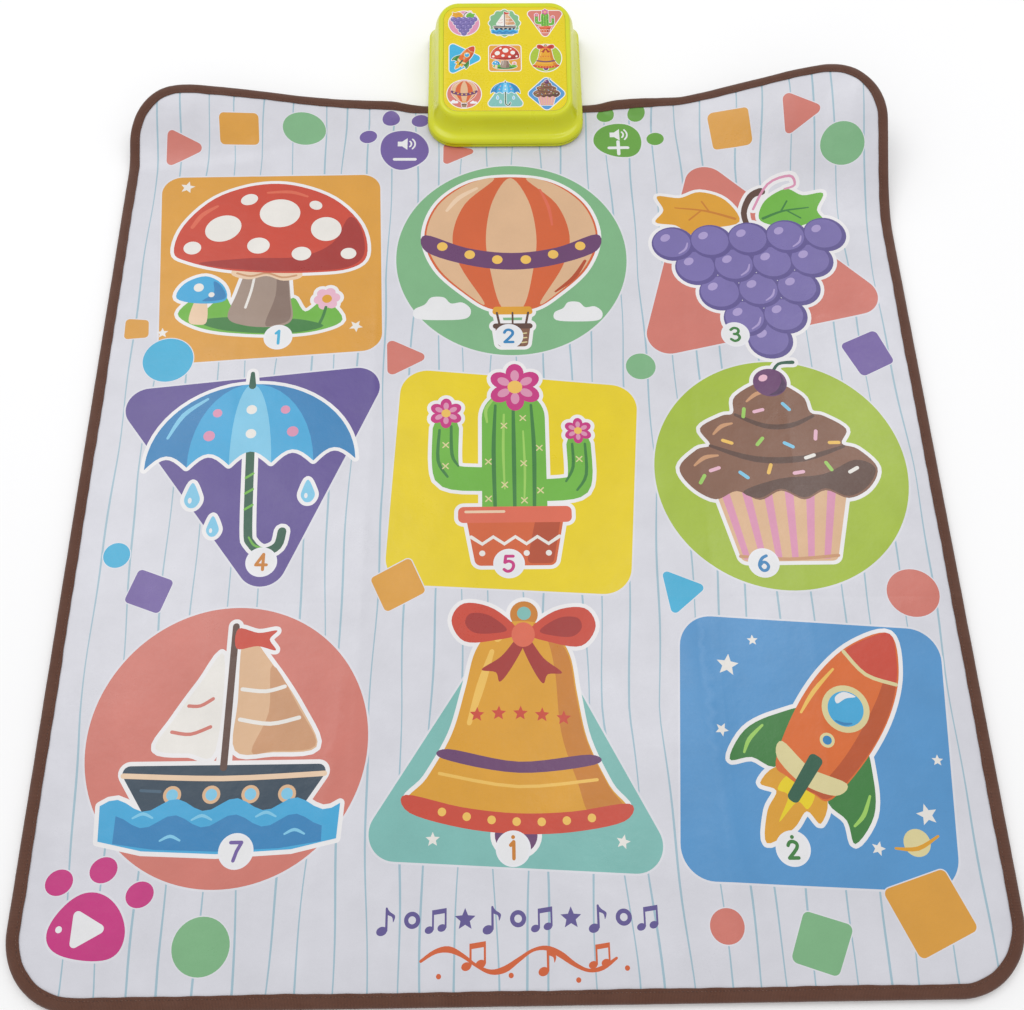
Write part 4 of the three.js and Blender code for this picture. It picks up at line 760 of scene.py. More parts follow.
def rounded_rect(inset, seg=20, step=9.0, fold=True):
    """The mat's outline moved inwards, counter clockwise, with points along its sides."""
    hx, hy, r = MAT_W / 2 - inset, MAT_L / 2 - inset, CORNER_R - inset
    out = []

    def side(a, b, extra=()):
        n = max(2, int(math.hypot(b[0] - a[0], b[1] - a[1]) / step))
        ts = set(np.round(np.linspace(0, 1, n + 1)[1:-1], 6)) | set(extra)
        return [(a[0] + (b[0] - a[0]) * t, a[1] + (b[1] - a[1]) * t) for t in sorted(ts)]

    def arc(cx, cy, q0):
        return [(cx + r * math.cos(q0 + math.pi / 2 * k / seg), cy + r * math.sin(q0 + math.pi / 2 * k / seg)) for k in range(seg + 1)]
    span = 2 * (hy - r)
    marks = [(FOLD_Y + d + hy - r) / span for d in (-9, -6, -4.5, -3, -1.5, 0, 1.5, 3, 4.5, 6, 9)] if fold else []
    a = arc(hx - r, -hy + r, -math.pi / 2)
    b = arc(hx - r, hy - r, 0)
    c = arc(-hx + r, hy - r, math.pi / 2)
    d = arc(-hx + r, -hy + r, math.pi)
    out += a + side(a[-1], b[0], marks) + b + side(b[-1], c[0]) + c + side(c[-1], d[0], [1 - m for m in marks]) + d + side(d[-1], a[0])
    return out


def smooth_step(t):
    t = np.clip(t, 0, 1)
    return t * t * (3 - 2 * t)


def edge_distance(x, y):
    """How far inside the mat's outline a point is."""
    qx, qy = np.abs(x) - (MAT_W / 2 - CORNER_R), np.abs(y) - (MAT_L / 2 - CORNER_R)
    return CORNER_R - (np.hypot(np.maximum(qx, 0), np.maximum(qy, 0)) + np.minimum(np.maximum(qx, qy), 0))


def lift(x, y, above=0.0):
    """Height of the curl. Above is 1 on the upper side, which clears the layers inside."""
    x, y = np.asarray(x, float), np.asarray(y, float)
    z = np.zeros(np.broadcast(x, y).shape)
    for cols, sign in zip(BEND, (1.0, -1.0)):
        xs = [abs(c[0]) for c in cols]
        for dx, share in ((-5, 0.15), (-2.5, 0.2), (0, 0.3), (2.5, 0.2), (5, 0.15)):
            u = x * sign + dx
            height = np.interp(u, xs, [c[1] for c in cols], left=0.0)
            depth = np.interp(u, xs, [c[2] for c in cols], left=0.0)
            t = np.where(depth > 0.5, (y - MAT_L / 2 + depth) / np.maximum(depth, 0.5), 0.0)
            z = z + share * height * smooth_step(t)
    return z + above * 0.45 * smooth_step(z / 5)


def waves(x, y):
    """How far the laid cover stands off the foam: soft bulges and the lines where it was folded for its bag."""
    b = (0.46 + 0.20 * np.sin(x / 47 + 0.7 * np.sin(y / 83) + 0.4) * np.sin(y / 71 + 1.1)
         + 0.13 * np.sin(x / 21 + y / 57 + 2.0) * np.cos(y / 29 - x / 90)
         + 0.17 * np.sin((x + 0.4 * y) / 118 + 1.9) + 0.05 * np.sin(x / 11.5 + 1.3 * np.sin(y / 31)) * np.cos(y / 17 + 0.6))
    for x0, amp, w, ph in ((-132, 0.95, 10.0, 0.0), (131, 0.90, 10.0, 1.4), (-266, 0.34, 8.0, 2.2), (262, 0.40, 8.0, 0.7), (176, 0.40, 7.0, 2.9)):
        xc = x0 + 2.2 * np.sin(y / 120 + ph) + 0.9 * np.sin(y / 37 + ph)
        gain = 0.55 + 0.45 * np.sin(y / 96 + 1.7 * ph) ** 2
        b = b + amp * gain * np.exp(-np.abs(x - xc) / w)
    # a kink in the front panel, from the fold towards the near edge, with a short one that branches off it
    xc = 162 - 0.035 * (y + 140) + 1.5 * np.sin(y / 60)
    b = b + 2.0 * smooth_step((-118 - y) / 40) * np.exp(-np.sqrt((x - xc) ** 2 + 3.0) / 11.0)
    xc = 178 - 0.16 * (y + 330)
    b = b + 1.3 * smooth_step((-285 - y) / 50) * np.exp(-np.sqrt((x - xc) ** 2 + 2.0) / 10.0)
    xc = -152 + 0.09 * (y + 260)
    b = b + 1.1 * smooth_step((-150 - y) / 50) * np.exp(-np.sqrt((x - xc) ** 2 + 3.0) / 10.0)
    yc = FOLD_Y + 0.8 * np.sin(x / 90)
    b = b - 0.22 * np.exp(-np.abs(y - yc) / 6.0) + 0.24 * np.exp(-((y - yc) / 22.0) ** 2)
    yc = 178 + 1.4 * np.sin(x / 77 + 1)
    b = b + 0.30 * (0.5 + 0.5 * np.sin(x / 133) ** 2) * np.exp(-np.abs(y - yc) / 8.0)
    keep = smooth_step((edge_distance(x, y) - 11.5) / 24)
    under = 1 - smooth_step((96 - np.abs(x)) / 10) * smooth_step((y - 378) / 10)
    return np.maximum(b, -0.05) * keep * under


def cover_top(x, y):
    return COVER_Z + waves(x, y) + lift(x, y, 1.0)


def slopes(f, x, y, h=0.35):
    return (f(x + h, y) - f(x - h, y)) / (2 * h), (f(x, y + h) - f(x, y - h)) / (2 * h)


# ------------------------------------------------------------------ mesh helpers
def new_object(name, mesh):
    o = bpy.data.objects.new(name, mesh)
    scene.collection.objects.link(o)
    return o


def mesh_from(name, verts_mm, faces):
    me = bpy.data.meshes.new(name)
    me.from_pydata([tuple(v) for v in np.asarray(verts_mm, float) * MM], [], [tuple(int(i) for i in f) for f in faces])
    return me


def flat_sheet(name, verts, tris, top, bottom, ink=None, under=(0.7, 0.7, 0.7), normal=None, uv=None):
    """A closed sheet over plan triangles: top and bottom give heights; ink is one colour for each triangle."""
    used = np.unique(tris)
    back = -np.ones(len(verts), int)
    back[used] = np.arange(len(used))
    t = back[tris]
    p = verts[used]
    n = len(p)
    zt, zb = top(p[:, 0], p[:, 1]), bottom(p[:, 0], p[:, 1])
    co = np.concatenate([np.column_stack([p, zt]), np.column_stack([p, zb])])
    area = (p[t[:, 1], 0] - p[t[:, 0], 0]) * (p[t[:, 2], 1] - p[t[:, 0], 1]) - (p[t[:, 2], 0] - p[t[:, 0], 0]) * (p[t[:, 1], 1] - p[t[:, 0], 1])
    t = np.where((area > 0)[:, None], t, t[:, ::-1])
    directed = np.concatenate([t[:, [0, 1]], t[:, [1, 2]], t[:, [2, 0]]])
    key = directed[:, 0].astype(np.int64) * n + directed[:, 1]
    rev = directed[:, 1].astype(np.int64) * n + directed[:, 0]
    rim = directed[~np.isin(key, rev)]
    faces = [tuple(f) for f in t] + [tuple(f[::-1] + n) for f in t] + [(a, a + n, b + n, b) for a, b in rim]
    me = mesh_from(name, co, faces)
    nt, nr = len(t), len(rim)
    attr = me.color_attributes.new("Ink", "FLOAT_COLOR", "CORNER")
    col = np.ones((nt * 6 + nr * 4, 4), np.float32)
    col[:, :3] = under
    if ink is not None:
        col[:nt * 3, :3] = np.repeat(ink, 3, axis=0)
        col[nt * 6:, :3] = 0.72
    attr.data.foreach_set("color", col.ravel())
    if normal is not None:
        sx, sy = normal(p[:, 0], p[:, 1])
        v = np.column_stack([-sx, -sy, np.ones(n)])
        v /= np.linalg.norm(v, axis=1)[:, None]
        loops = np.zeros((nt * 6 + nr * 4, 3))
        loops[:nt * 3] = v[t.ravel()]
        loops[nt * 3:nt * 6] = -v[t[:, ::-1].ravel()]
        e = p[rim[:, 1]] - p[rim[:, 0]]
        e /= np.maximum(np.linalg.norm(e, axis=1)[:, None], 1e-9)
        loops[nt * 6:] = np.repeat(np.column_stack([e[:, 1], -e[:, 0], np.zeros(nr)]), 4, axis=0)
        me.shade_smooth()
        me.normals_split_custom_set([tuple(q) for q in loops])
    if uv is not None:
        layer = me.uv_layers.new(name="OFBake")
        lo, hi = uv
        span = max(hi[0] - lo[0], hi[1] - lo[1])
        u = (p - np.array(lo)) / span
        full = np.zeros((nt * 6 + nr * 4, 2), np.float32)
        full[:nt * 3] = u[t.ravel()] * 0.90 + 0.005
        full[nt * 3:nt * 6] = u[t[:, ::-1].ravel()] * 0.08 + np.array((0.912, 0.005))
        k = np.linspace(0, 1, nr + 1)
        wall = np.zeros((nr, 4, 2))
        wall[:, 0] = np.column_stack([np.full(nr, 0.93), 0.2 + 0.78 * k[:-1]])
        wall[:, 1] = np.column_stack([np.full(nr, 0.95), 0.2 + 0.78 * k[:-1]])
        wall[:, 2] = np.column_stack([np.full(nr, 0.95), 0.2 + 0.78 * k[1:]])
        wall[:, 3] = np.column_stack([np.full(nr, 0.93), 0.2 + 0.78 * k[1:]])
        full[nt * 6:] = wall.reshape(-1, 2)
        layer.data.foreach_set("uv", full.ravel())
    return new_object(name, me)


def revolve(name, profile, centre, seg=48):
    """A turned solid, profile in (radius, height), its ends on the axis."""
    verts, faces, rings = [], [], []
    for r, z in profile:
        if r < 1e-6:
            rings.append([len(verts)])
            verts.append((centre[0], centre[1], z))
        else:
            rings.append(list(range(len(verts), len(verts) + seg)))
            verts += [(centre[0] + r * math.cos(2 * math.pi * i / seg), centre[1] + r * math.sin(2 * math.pi * i / seg), z) for i in range(seg)]
    for a, b in zip(rings[:-1], rings[1:]):
        for i in range(seg):
            j = (i + 1) % seg
            if len(a) == 1 and len(b) == 1:
                continue
            if len(a) == 1:
                faces.append((a[0], b[j], b[i]))
            elif len(b) == 1:
                faces.append((a[i], a[j], b[0]))
            else:
                faces.append((a[i], a[j], b[j], b[i]))
    me = mesh_from(name, verts, faces)
    o = new_object(name, me)
    fix_normals(me)
    return o


def fix_normals(me):
    bm = bmesh.new()
    bm.from_mesh(me)
    bmesh.ops.recalc_face_normals(bm, faces=bm.faces)
    bm.to_mesh(me)
    bm.free()


def smooth_by_angle(o, degrees=35):
    o.data.shade_smooth()
    o.data.set_sharp_from_angle(angle=math.radians(degrees))


def give(o, material):
    o.data.materials.clear()
    o.data.materials.append(material)
    return o


# ------------------------------------------------------------------ materials
class Look:
    """A small helper for building node trees."""

    def __init__(self, name):
        self.m = bpy.data.materials.new(name)
        self.m.use_nodes = True
        self.t = self.m.node_tree
        self.t.nodes.clear()
        self.out = self.t.nodes.new("ShaderNodeOutputMaterial")
        self.b = self.t.nodes.new("ShaderNodeBsdfPrincipled")
        self.t.links.new(self.b.outputs[0], self.out.inputs[0])
        self.co = self.t.nodes.new("ShaderNodeTexCoord").outputs["Object"]

    def set(self, **kw):
        for k, v in kw.items():
            self.b.inputs[k.replace("_", " ")].default_value = v
        return self

    def link(self, a, b):
        self.t.links.new(a, b)

    def noise(self, scale, detail=3.0, rough=0.55, co=None, dist=0.0):
        n = self.t.nodes.new("ShaderNodeTexNoise")
        n.inputs["Scale"].default_value = scale
        n.inputs["Detail"].default_value = detail
        n.inputs["Roughness"].default_value = rough
        n.inputs["Distortion"].default_value = dist
        self.link(co or self.co, n.inputs["Vector"])
        return n.outputs["Fac"]

    def voronoi(self, scale, feature="F1", co=None, random=1.0):
        n = self.t.nodes.new("ShaderNodeTexVoronoi")
        n.feature = feature
        n.inputs["Scale"].default_value = scale
        n.inputs["Randomness"].default_value = random
        self.link(co or self.co, n.inputs["Vector"])
        return n.outputs["Distance"]

    def wave(self, scale, direction="X", dist=0.0, detail=0.0, co=None, profile="SIN"):
        n = self.t.nodes.new("ShaderNodeTexWave")
        n.bands_direction = direction
        n.wave_profile = profile
        n.inputs["Scale"].default_value = scale
        n.inputs["Distortion"].default_value = dist
        n.inputs["Detail"].default_value = detail
        self.link(co or self.co, n.inputs["Vector"])
        return n.outputs["Fac"]

    def math(self, op, a, b=None, c=None, clamp=False):
        n = self.t.nodes.new("ShaderNodeMath")
        n.operation = op
        n.use_clamp = clamp
        for i, v in enumerate((a, b, c)):
            if v is None:
                continue
            if isinstance(v, (int, float)):
                n.inputs[i].default_value = v
            else:
                self.link(v, n.inputs[i])
        return n.outputs[0]

    def range(self, v, a, b, lo, hi):
        n = self.t.nodes.new("ShaderNodeMapRange")
        n.inputs["From Min"].default_value = a
        n.inputs["From Max"].default_value = b
        n.inputs["To Min"].default_value = lo
        n.inputs["To Max"].default_value = hi
        self.link(v, n.inputs["Value"])
        return n.outputs["Result"]

    def mix(self, fac, a, b, kind="MIX"):
        n = self.t.nodes.new("ShaderNodeMix")
        n.data_type = "RGBA"
        n.blend_type = kind
        for v, s in ((fac, n.inputs["Factor"]), (a, n.inputs["A"]), (b, n.inputs["B"])):
            pass
        ins = {"Factor": [i for i in n.inputs if i.name == "Factor" and i.type == "VALUE"][0],
               "A": [i for i in n.inputs if i.name == "A" and i.type == "RGBA"][0],
               "B": [i for i in n.inputs if i.name == "B" and i.type == "RGBA"][0]}
        for k, v in (("Factor", fac), ("A", a), ("B", b)):
            if isinstance(v, (int, float)):
                ins[k].default_value = v
            elif isinstance(v, (tuple, list)):
                ins[k].default_value = tuple(v) + ((1.0,) if len(v) == 3 else ())
            else:
                self.link(v, ins[k])
        return [o for o in n.outputs if o.type == "RGBA"][0]

    def attribute(self, name):
        n = self.t.nodes.new("ShaderNodeAttribute")
        n.attribute_name = name
        return n.outputs["Color"]

    def scaled(self, x, y, z, co=None):
        n = self.t.nodes.new("ShaderNodeMapping")
        n.inputs["Scale"].default_value = (x, y, z)
        self.link(co or self.co, n.inputs["Vector"])
        return n.outputs[0]

    def bump(self, height, strength, distance, under=None):
        n = self.t.nodes.new("ShaderNodeBump")
        n.inputs["Strength"].default_value = strength
        n.inputs["Distance"].default_value = distance
        self.link(height, n.inputs["Height"])
        if under is not None:
            self.link(under, n.inputs["Normal"])
        return n.outputs[0]

    def base(self, v):
        if isinstance(v, (tuple, list)):
            self.b.inputs["Base Color"].default_value = tuple(v) + (1.0,)
        else:
            self.link(v, self.b.inputs["Base Color"])
        return self

    def rough(self, v):
        self.link(v, self.b.inputs["Roughness"])
        return self

    def normal(self, v):
        self.link(v, self.b.inputs["Normal"])
        return self


def srgb(*c):
    return tuple(linear(v) for v in c)


def printed(name, gloss):
    k = Look(name)
    ink = k.attribute("Ink")
    cloud = k.range(k.noise(26, 4, 0.6), 0.3, 0.7, 0.955, 1.03)
    grain = k.range(k.noise(1400, 2, 0.5), 0.25, 0.75, 0.972, 1.02)
    tone = k.math("MULTIPLY", cloud, grain)
    value = k.t.nodes.new("ShaderNodeVectorMath")
    value.operation = "SCALE"
    k.link(ink, value.inputs[0])
    k.link(tone, value.inputs["Scale"])
    k.base(value.outputs[0])
    scuff = k.range(k.noise(9, 6, 0.62), 0.35, 0.7, gloss - 0.05, gloss + 0.08)
    fine = k.range(k.noise(420, 2), 0.3, 0.7, -0.03, 0.03)
    k.rough(k.math("ADD", scuff, fine))
    emboss = k.bump(k.voronoi(620, "SMOOTH_F1"), 0.10, 0.0004)
    soft = k.bump(k.noise(34, 3, 0.5), 0.20, 0.004, emboss)
    k.normal(soft)
    k.set(Specular_IOR_Level=0.46, Coat_Weight=0.12, Coat_Roughness=0.24)
    return k.m


def moulded(name, colour, rough=0.34, grain=900.0, depth=0.12, tint=0.06, coat=0.0):
    k = Look(name)
    dark = tuple(c * (1 - tint) for c in colour)
    pale = tuple(min(1.0, c * (1 + tint)) for c in colour)
    k.base(k.mix(k.range(k.noise(17, 4, 0.6), 0.3, 0.7, 0.0, 1.0), dark, pale))
    k.rough(k.range(k.noise(60, 5, 0.65), 0.3, 0.7, rough - 0.05, rough + 0.07))
    k.normal(k.bump(k.noise(grain, 3, 0.6), depth, 0.0003))
    k.set(Specular_IOR_Level=0.5, Coat_Weight=coat, Coat_Roughness=0.18)
    return k.m


def tape_material():
    k = Look("woven_tape")
    uv = k.t.nodes.new("ShaderNodeUVMap")
    uv.uv_map = "Weave"
    along = k.wave(1.0, "X", 0.6, 1.0, co=k.scaled(1, 1, 1, uv.outputs[0]))
    across = k.wave(1.0, "Y", 0.4, 1.0, co=k.scaled(1, 1, 1, uv.outputs[0]))
    weave = k.math("MULTIPLY", along, across)
    fuzz = k.noise(700, 4, 0.7)
    patch = k.noise(38, 3, 0.6)
    c = k.mix(k.range(k.math("ADD", k.math("MULTIPLY", weave, 0.6), k.math("MULTIPLY", fuzz, 0.5)), 0.2, 0.9, 0, 1), srgb(72, 40, 27), srgb(118, 74, 54))
    c = k.mix(k.range(patch, 0.3, 0.7, 0.0, 0.35), c, srgb(108, 74, 60))
    k.base(c)
    k.rough(k.range(fuzz, 0.2, 0.8, 0.62, 0.86))
    h = k.math("ADD", k.math("MULTIPLY", weave, 0.8), k.math("MULTIPLY", fuzz, 0.35))
    k.normal(k.bump(h, 0.55, 0.0005))
    k.set(Specular_IOR_Level=0.3, Sheen_Weight=0.25, Sheen_Roughness=0.5)
    return k.m


def thread_material():
    k = Look("sewing_thread")
    twist = k.wave(240, "DIAGONAL", 1.5, 1.0)
    k.base(k.mix(twist, srgb(70, 44, 36), srgb(122, 88, 72)))
    k.rough(k.range(k.noise(900, 2), 0.3, 0.7, 0.5, 0.7))
    k.normal(k.bump(twist, 0.4, 0.0003))
    return k.m


def backing_material():
    k = Look("grip_backing")
    fibre = k.noise(260, 6, 0.7)
    cross = k.math("MULTIPLY", k.wave(150, "X", 1.0, 1.0), k.wave(150, "Y", 1.0, 1.0))
    k.base(k.mix(k.range(k.math("ADD", fibre, k.math("MULTIPLY", cross, 0.3)), 0.35, 0.95, 0, 1), srgb(112, 116, 122), srgb(150, 154, 160)))
    k.rough(k.range(fibre, 0.3, 0.7, 0.78, 0.95))
    k.normal(k.bump(k.math("ADD", fibre, cross), 0.35, 0.0006))
    k.set(Specular_IOR_Level=0.25)
    return k.m


def dot_material():
    k = Look("grip_dots")
    k.base(k.mix(k.noise(90, 3), srgb(196, 200, 206), srgb(222, 225, 230)))
    k.rough(k.range(k.noise(300, 2), 0.3, 0.7, 0.38, 0.55))
    k.normal(k.bump(k.noise(700, 2), 0.2, 0.0003))
    return k.m


def film_material():
    k = Look("contact_film")
    lines = k.range(k.wave(12.0, "X", 0.0), 0.9, 0.96, 0, 1)
    bars = k.range(k.wave(7.0, "Y", 0.0), 0.93, 0.98, 0, 1)
    trace = k.math("MAXIMUM", lines, bars)
    k.base(k.mix(trace, srgb(206, 212, 214), srgb(62, 64, 68)))
    k.rough(k.range(trace, 0, 1, 0.26, 0.6))
    k.normal(k.bump(k.math("ADD", trace, k.math("MULTIPLY", k.noise(80, 3), 0.4)), 0.2, 0.0002))
    return k.m


def foam_material():
    k = Look("white_foam")
    cell = k.voronoi(900)
    k.base(k.mix(k.noise(60, 3), srgb(226, 225, 218), srgb(243, 242, 236)))
    k.rough(k.range(cell, 0, 0.7, 0.85, 1.0))
    k.normal(k.bump(cell, 0.5, 0.0008))
    return k.m


def metal_material(name="bright_steel", colour=(196, 198, 201), rough=0.3):
    k = Look(name)
    brush = k.noise(260, 5, 0.7, co=k.scaled(1, 9, 1))
    k.base(k.mix(brush, srgb(*[int(c * 0.86) for c in colour]), srgb(*colour)))
    k.rough(k.range(brush, 0.3, 0.7, rough - 0.08, rough + 0.12))
    k.normal(k.bump(brush, 0.15, 0.0002))
    k.set(Metallic=1.0)
    return k.m


def board_material():
    k = Look("circuit_board")
    trace = k.range(k.math("MAXIMUM", k.wave(70, "X", 3.0, 0.5), k.wave(55, "Y", 2.0, 0.5)), 0.86, 0.92, 0, 1)
    k.base(k.mix(trace, srgb(34, 104, 62), srgb(70, 150, 92)))
    k.rough(k.range(k.noise(200, 3), 0.3, 0.7, 0.3, 0.5))
    k.normal(k.bump(trace, 0.3, 0.0003))
    return k.m


def rubber_material():
    k = Look("soft_rubber")
    k.base(k.mix(k.noise(120, 4), srgb(42, 42, 44), srgb(64, 64, 66)))
    k.rough(k.range(k.noise(400, 3), 0.3, 0.7, 0.75, 0.92))
    k.normal(k.bump(k.noise(900, 3), 0.35, 0.0003))
    k.set(Specular_IOR_Level=0.35)
    return k.m


def cell_material():
    k = Look("cell_wrap")
    sep = k.t.nodes.new("ShaderNodeSeparateXYZ")
    k.link(k.co, sep.inputs[0])
    band = k.range(sep.outputs["X"], 0.006, 0.0062, 0, 1)
    c = k.mix(band, srgb(52, 92, 66), srgb(206, 168, 92))
    k.base(k.mix(k.range(k.noise(40, 3), 0.3, 0.7, 0, 0.25), c, srgb(90, 120, 96)))
    k.rough(k.range(k.noise(150, 3), 0.3, 0.7, 0.26, 0.4))
    k.normal(k.bump(k.noise(500, 2), 0.1, 0.0002))
    return k.m


def cone_material():
    k = Look("paper_cone")
    rib = k.noise(500, 4, 0.7)
    k.base(k.mix(rib, srgb(52, 47, 43), srgb(82, 76, 70)))
    k.rough(k.range(rib, 0.3, 0.7, 0.8, 0.95))
    k.normal(k.bump(rib, 0.4, 0.0004))
    return k.m


PRINT = printed("printed_vinyl", 0.33)
PRINT_LABEL = printed("printed_label", 0.28)
TAPE = tape_material()
THREAD = thread_material()
BACKING = backing_material()
DOTS = dot_material()
FILM = film_material()
FOAM = foam_material()
SHELL = moulded("lime_shell", srgb(206, 209, 4), 0.30, 1100, 0.10, 0.035, coat=0.12)
TRAY = moulded("lime_tray", srgb(202, 205, 8), 0.38, 900, 0.16, 0.04, coat=0.05)
STEEL = metal_material()
WHITE = moulded("white_moulding", srgb(236, 236, 234), 0.5, 800, 0.15, 0.03)
BOARD = board_material()
RUBBER = rubber_material()
DARK = moulded("dark_moulding", srgb(66, 66, 70), 0.42, 900, 0.25, 0.08)
CELL = cell_material()
CONE = cone_material()

NODE_LOOK = {}
for n in frame["nodes"]:
    if n.startswith(("lower_contact_film", "upper_contact_film", "film_tail")):
        NODE_LOOK[n] = FILM
    elif n.startswith("foam_spacer"):
        NODE_LOOK[n] = FOAM
    elif n.startswith("grip_base"):
        NODE_LOOK[n] = BACKING
    elif n.startswith("edge_binding"):
        NODE_LOOK[n] = TAPE
    elif n.startswith(("printed_cover", "pad_")) or n.endswith("_key") or n == "indicator_label":
        NODE_LOOK[n] = PRINT
    elif "screw" in n or "spring" in n or "contact" in n or n == "mat_clamp_plate":
        NODE_LOOK[n] = STEEL
    elif n == "light_baffle":
        NODE_LOOK[n] = WHITE
    elif n == "control_board":
        NODE_LOOK[n] = BOARD
    elif n.startswith("rubber_foot"):
        NODE_LOOK[n] = RUBBER
    elif n in ("power_slider", "power_switch_body", "speaker_frame"):
        NODE_LOOK[n] = DARK
    elif n.startswith("battery_") and n[-1].isdigit():
        NODE_LOOK[n] = CELL
    elif n == "speaker_cone":
        NODE_LOOK[n] = CONE
    elif n in ("lower_housing", "battery_door"):
        NODE_LOOK[n] = TRAY
    else:
        NODE_LOOK[n] = SHELL
for n, o in frame["nodes"].items():
    if not o.material_slots:
        o.data.materials.append(None)
    for s in o.material_slots:
        s.material = NODE_LOOK[n]

# ------------------------------------------------------------------ the printed cover and its touch zones
outline = rounded_rect(1.8)
fold_rows = [[(x, FOLD_Y + d) for x in np.arange(-396, 396.1, 9.0)] for d in (-6, -4.5, -3, -1.5, 0, 1.5, 3, 4.5, 6)]
crease_rows = [[(x0 + d + 2.2 * math.sin(y / 120 + ph) + 0.9 * math.sin(y / 37 + ph), y) for y in np.arange(-440, 440.1, 12.0)]
               for x0, ph in ((-132, 0.0), (131, 1.4), (-266, 2.2), (262, 0.7), (176, 2.9)) for d in (-4.0, 0.0, 4.0)]
loops = [outline] + [z[3] for z in ZONES.values()] + [a[0] for a in art]
grid = grid_points(-394, 394, -444, 408, 9.0) + grid_points(-394, 394, 412, 446, 5.0)
plan_v, plan_t = triangulate(loops, fold_rows + crease_rows, grid)
mid = plan_v[plan_t].mean(axis=1)
keep = inside(mid, outline)
plan_t, mid = plan_t[keep], mid[keep]
ink_of = np.tile(np.array(srgb(*INK["ground"])), (len(mid), 1))
for pts, ink, _ in art:
    hit = inside(mid, pts)
    if hit.any():
        ink_of[hit] = srgb(*INK[ink])
INK_GAIN = 0.86
zone_of = np.full(len(mid), -1)
for i, (name, z) in enumerate(ZONES.items()):
    zone_of[inside(mid, z[3])] = i
print("plan", len(plan_v), len(plan_t))


def cover_slopes(x, y):
    return slopes(cover_top, x, y)


cover = flat_sheet("printed_cover", plan_v, plan_t[zone_of < 0], cover_top, lambda x, y: cover_top(x, y) - COVER_T,
                   ink_of[zone_of < 0] * INK_GAIN, (0.66, 0.67, 0.68), cover_slopes, ((-400, -450), (400, 450)))
give(cover, PRINT)
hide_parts("printed_cover_rear", "printed_cover_front")
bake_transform(cover)


def outline_distance(points, pts):
    """Shortest way from each point to an outline."""
    p = np.array(pts, float)
    best = np.full(len(points), 1e9)
    for a, b in zip(p, np.roll(p, -1, axis=0)):
        d = b - a
        t = np.clip(((points - a) @ d) / max(float(d @ d), 1e-12), 0, 1)
        best = np.minimum(best, np.linalg.norm(points - (a + t[:, None] * d), axis=1))
    return best


for i, (name, (panel, body, ink, pts)) in enumerate(ZONES.items()):
    key = name.endswith("_key")
    title = "touch_zone_" + name[4:] if not key else name.replace("_key", "_touch_key")
    p = np.array(pts)
    patch = flat_sheet(title, plan_v, plan_t[zone_of == i], cover_top, lambda x, y: cover_top(x, y) - 2.3,
                       ink_of[zone_of == i] * INK_GAIN, (0.66, 0.67, 0.68), cover_slopes, (tuple(p.min(0)), tuple(p.max(0))))
    give(patch, PRINT)
    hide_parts(name)
    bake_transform(patch)
    co = np.array([v.co for v in patch.data.vertices], float)[:, :2] / MM
    w = smooth_step(outline_distance(co, pts) / (24.0 if not key else 9.0))

# ------------------------------------------------------------------ sewn tape round the edge
ring = rounded_rect(0.0, 26, 4.0)
ring = np.array(ring)
prev, nxt = np.roll(ring, 1, axis=0), np.roll(ring, -1, axis=0)
tang = nxt - prev
tang /= np.linalg.norm(tang, axis=1)[:, None]
inward = np.column_stack([-tang[:, 1], tang[:, 0]])
arc = np.concatenate([[0], np.cumsum(np.linalg.norm(np.diff(ring, axis=0), axis=1))])
total = arc[-1] + np.linalg.norm(ring[0] - ring[-1])


def ripple(s, seed, long=1.0):
    """A smooth closed wobble along the edge, about -1 to 1."""
    r = np.random.RandomState(seed)
    out = np.zeros_like(s)
    for k in (9, 14, 23, 37, 58, 91, 140):
        out = out + r.uniform(0.3, 1.0) * np.sin(2 * math.pi * round(k * long) * s / total + r.uniform(0, 6.28))
    return out / 2.6


SECTION = [(10.8, 0.0, 0), (7.0, 0.0, 0), (3.0, 0.0, 0), (1.3, 0.12, 0), (0.45, 0.8, 0), (0.08, 1.9, 0), (0.0, 3.1, 0), (0.08, 4.3, 0),
           (0.45, 5.5, 0), (1.3, 6.35, 1), (2.8, 6.85, 1), (4.8, 7.0, 1), (6.8, 6.92, 1), (8.0, 6.72, 0.5), (8.6, 6.56, 0.2), (9.2, 6.66, 0.5),
           (10.3, 6.72, 0.6), (10.9, 6.55, 0.3), (11.05, 6.3, 0), (10.9, 6.0, 0), (10.2, 5.92, 0), (2.0, 5.9, 0), (1.5, 5.4, 0), (1.5, 1.2, 0),
           (2.0, 0.7, 0), (10.2, 0.7, 0), (10.9, 0.55, 0), (11.0, 0.25, 0)]
w_in, w_out, puff = 0.45 * ripple(arc, 3), 0.25 * ripple(arc, 5, 0.7), 0.16 * ripple(arc, 8, 2.0) + 0.10 * ripple(arc, 12, 3.1)
rows, weave_uv = [], []
girth = np.concatenate([[0], np.cumsum([math.hypot(SECTION[(i + 1) % len(SECTION)][0] - SECTION[i][0],
                                                   SECTION[(i + 1) % len(SECTION)][1] - SECTION[i][1]) for i in range(len(SECTION))])])
for w, z, puffed in SECTION:
    far = smooth_step((w - 4) / 6)
    inset = w + far * w_in + (1 - far) * np.abs(w_out) * 0.6
    xy = ring + inward * inset[:, None]
    zz = z + puffed * puff + lift(xy[:, 0], xy[:, 1]) + (z / 6.6) * (lift(xy[:, 0], xy[:, 1], 1.0) - lift(xy[:, 0], xy[:, 1]))
    rows.append(np.column_stack([xy, np.maximum(zz, 0.0)]))
ns, nk = len(ring), len(SECTION)
co = np.stack(rows, axis=1).reshape(-1, 3)
faces, uvs = [], []
arcs = np.append(arc, total)
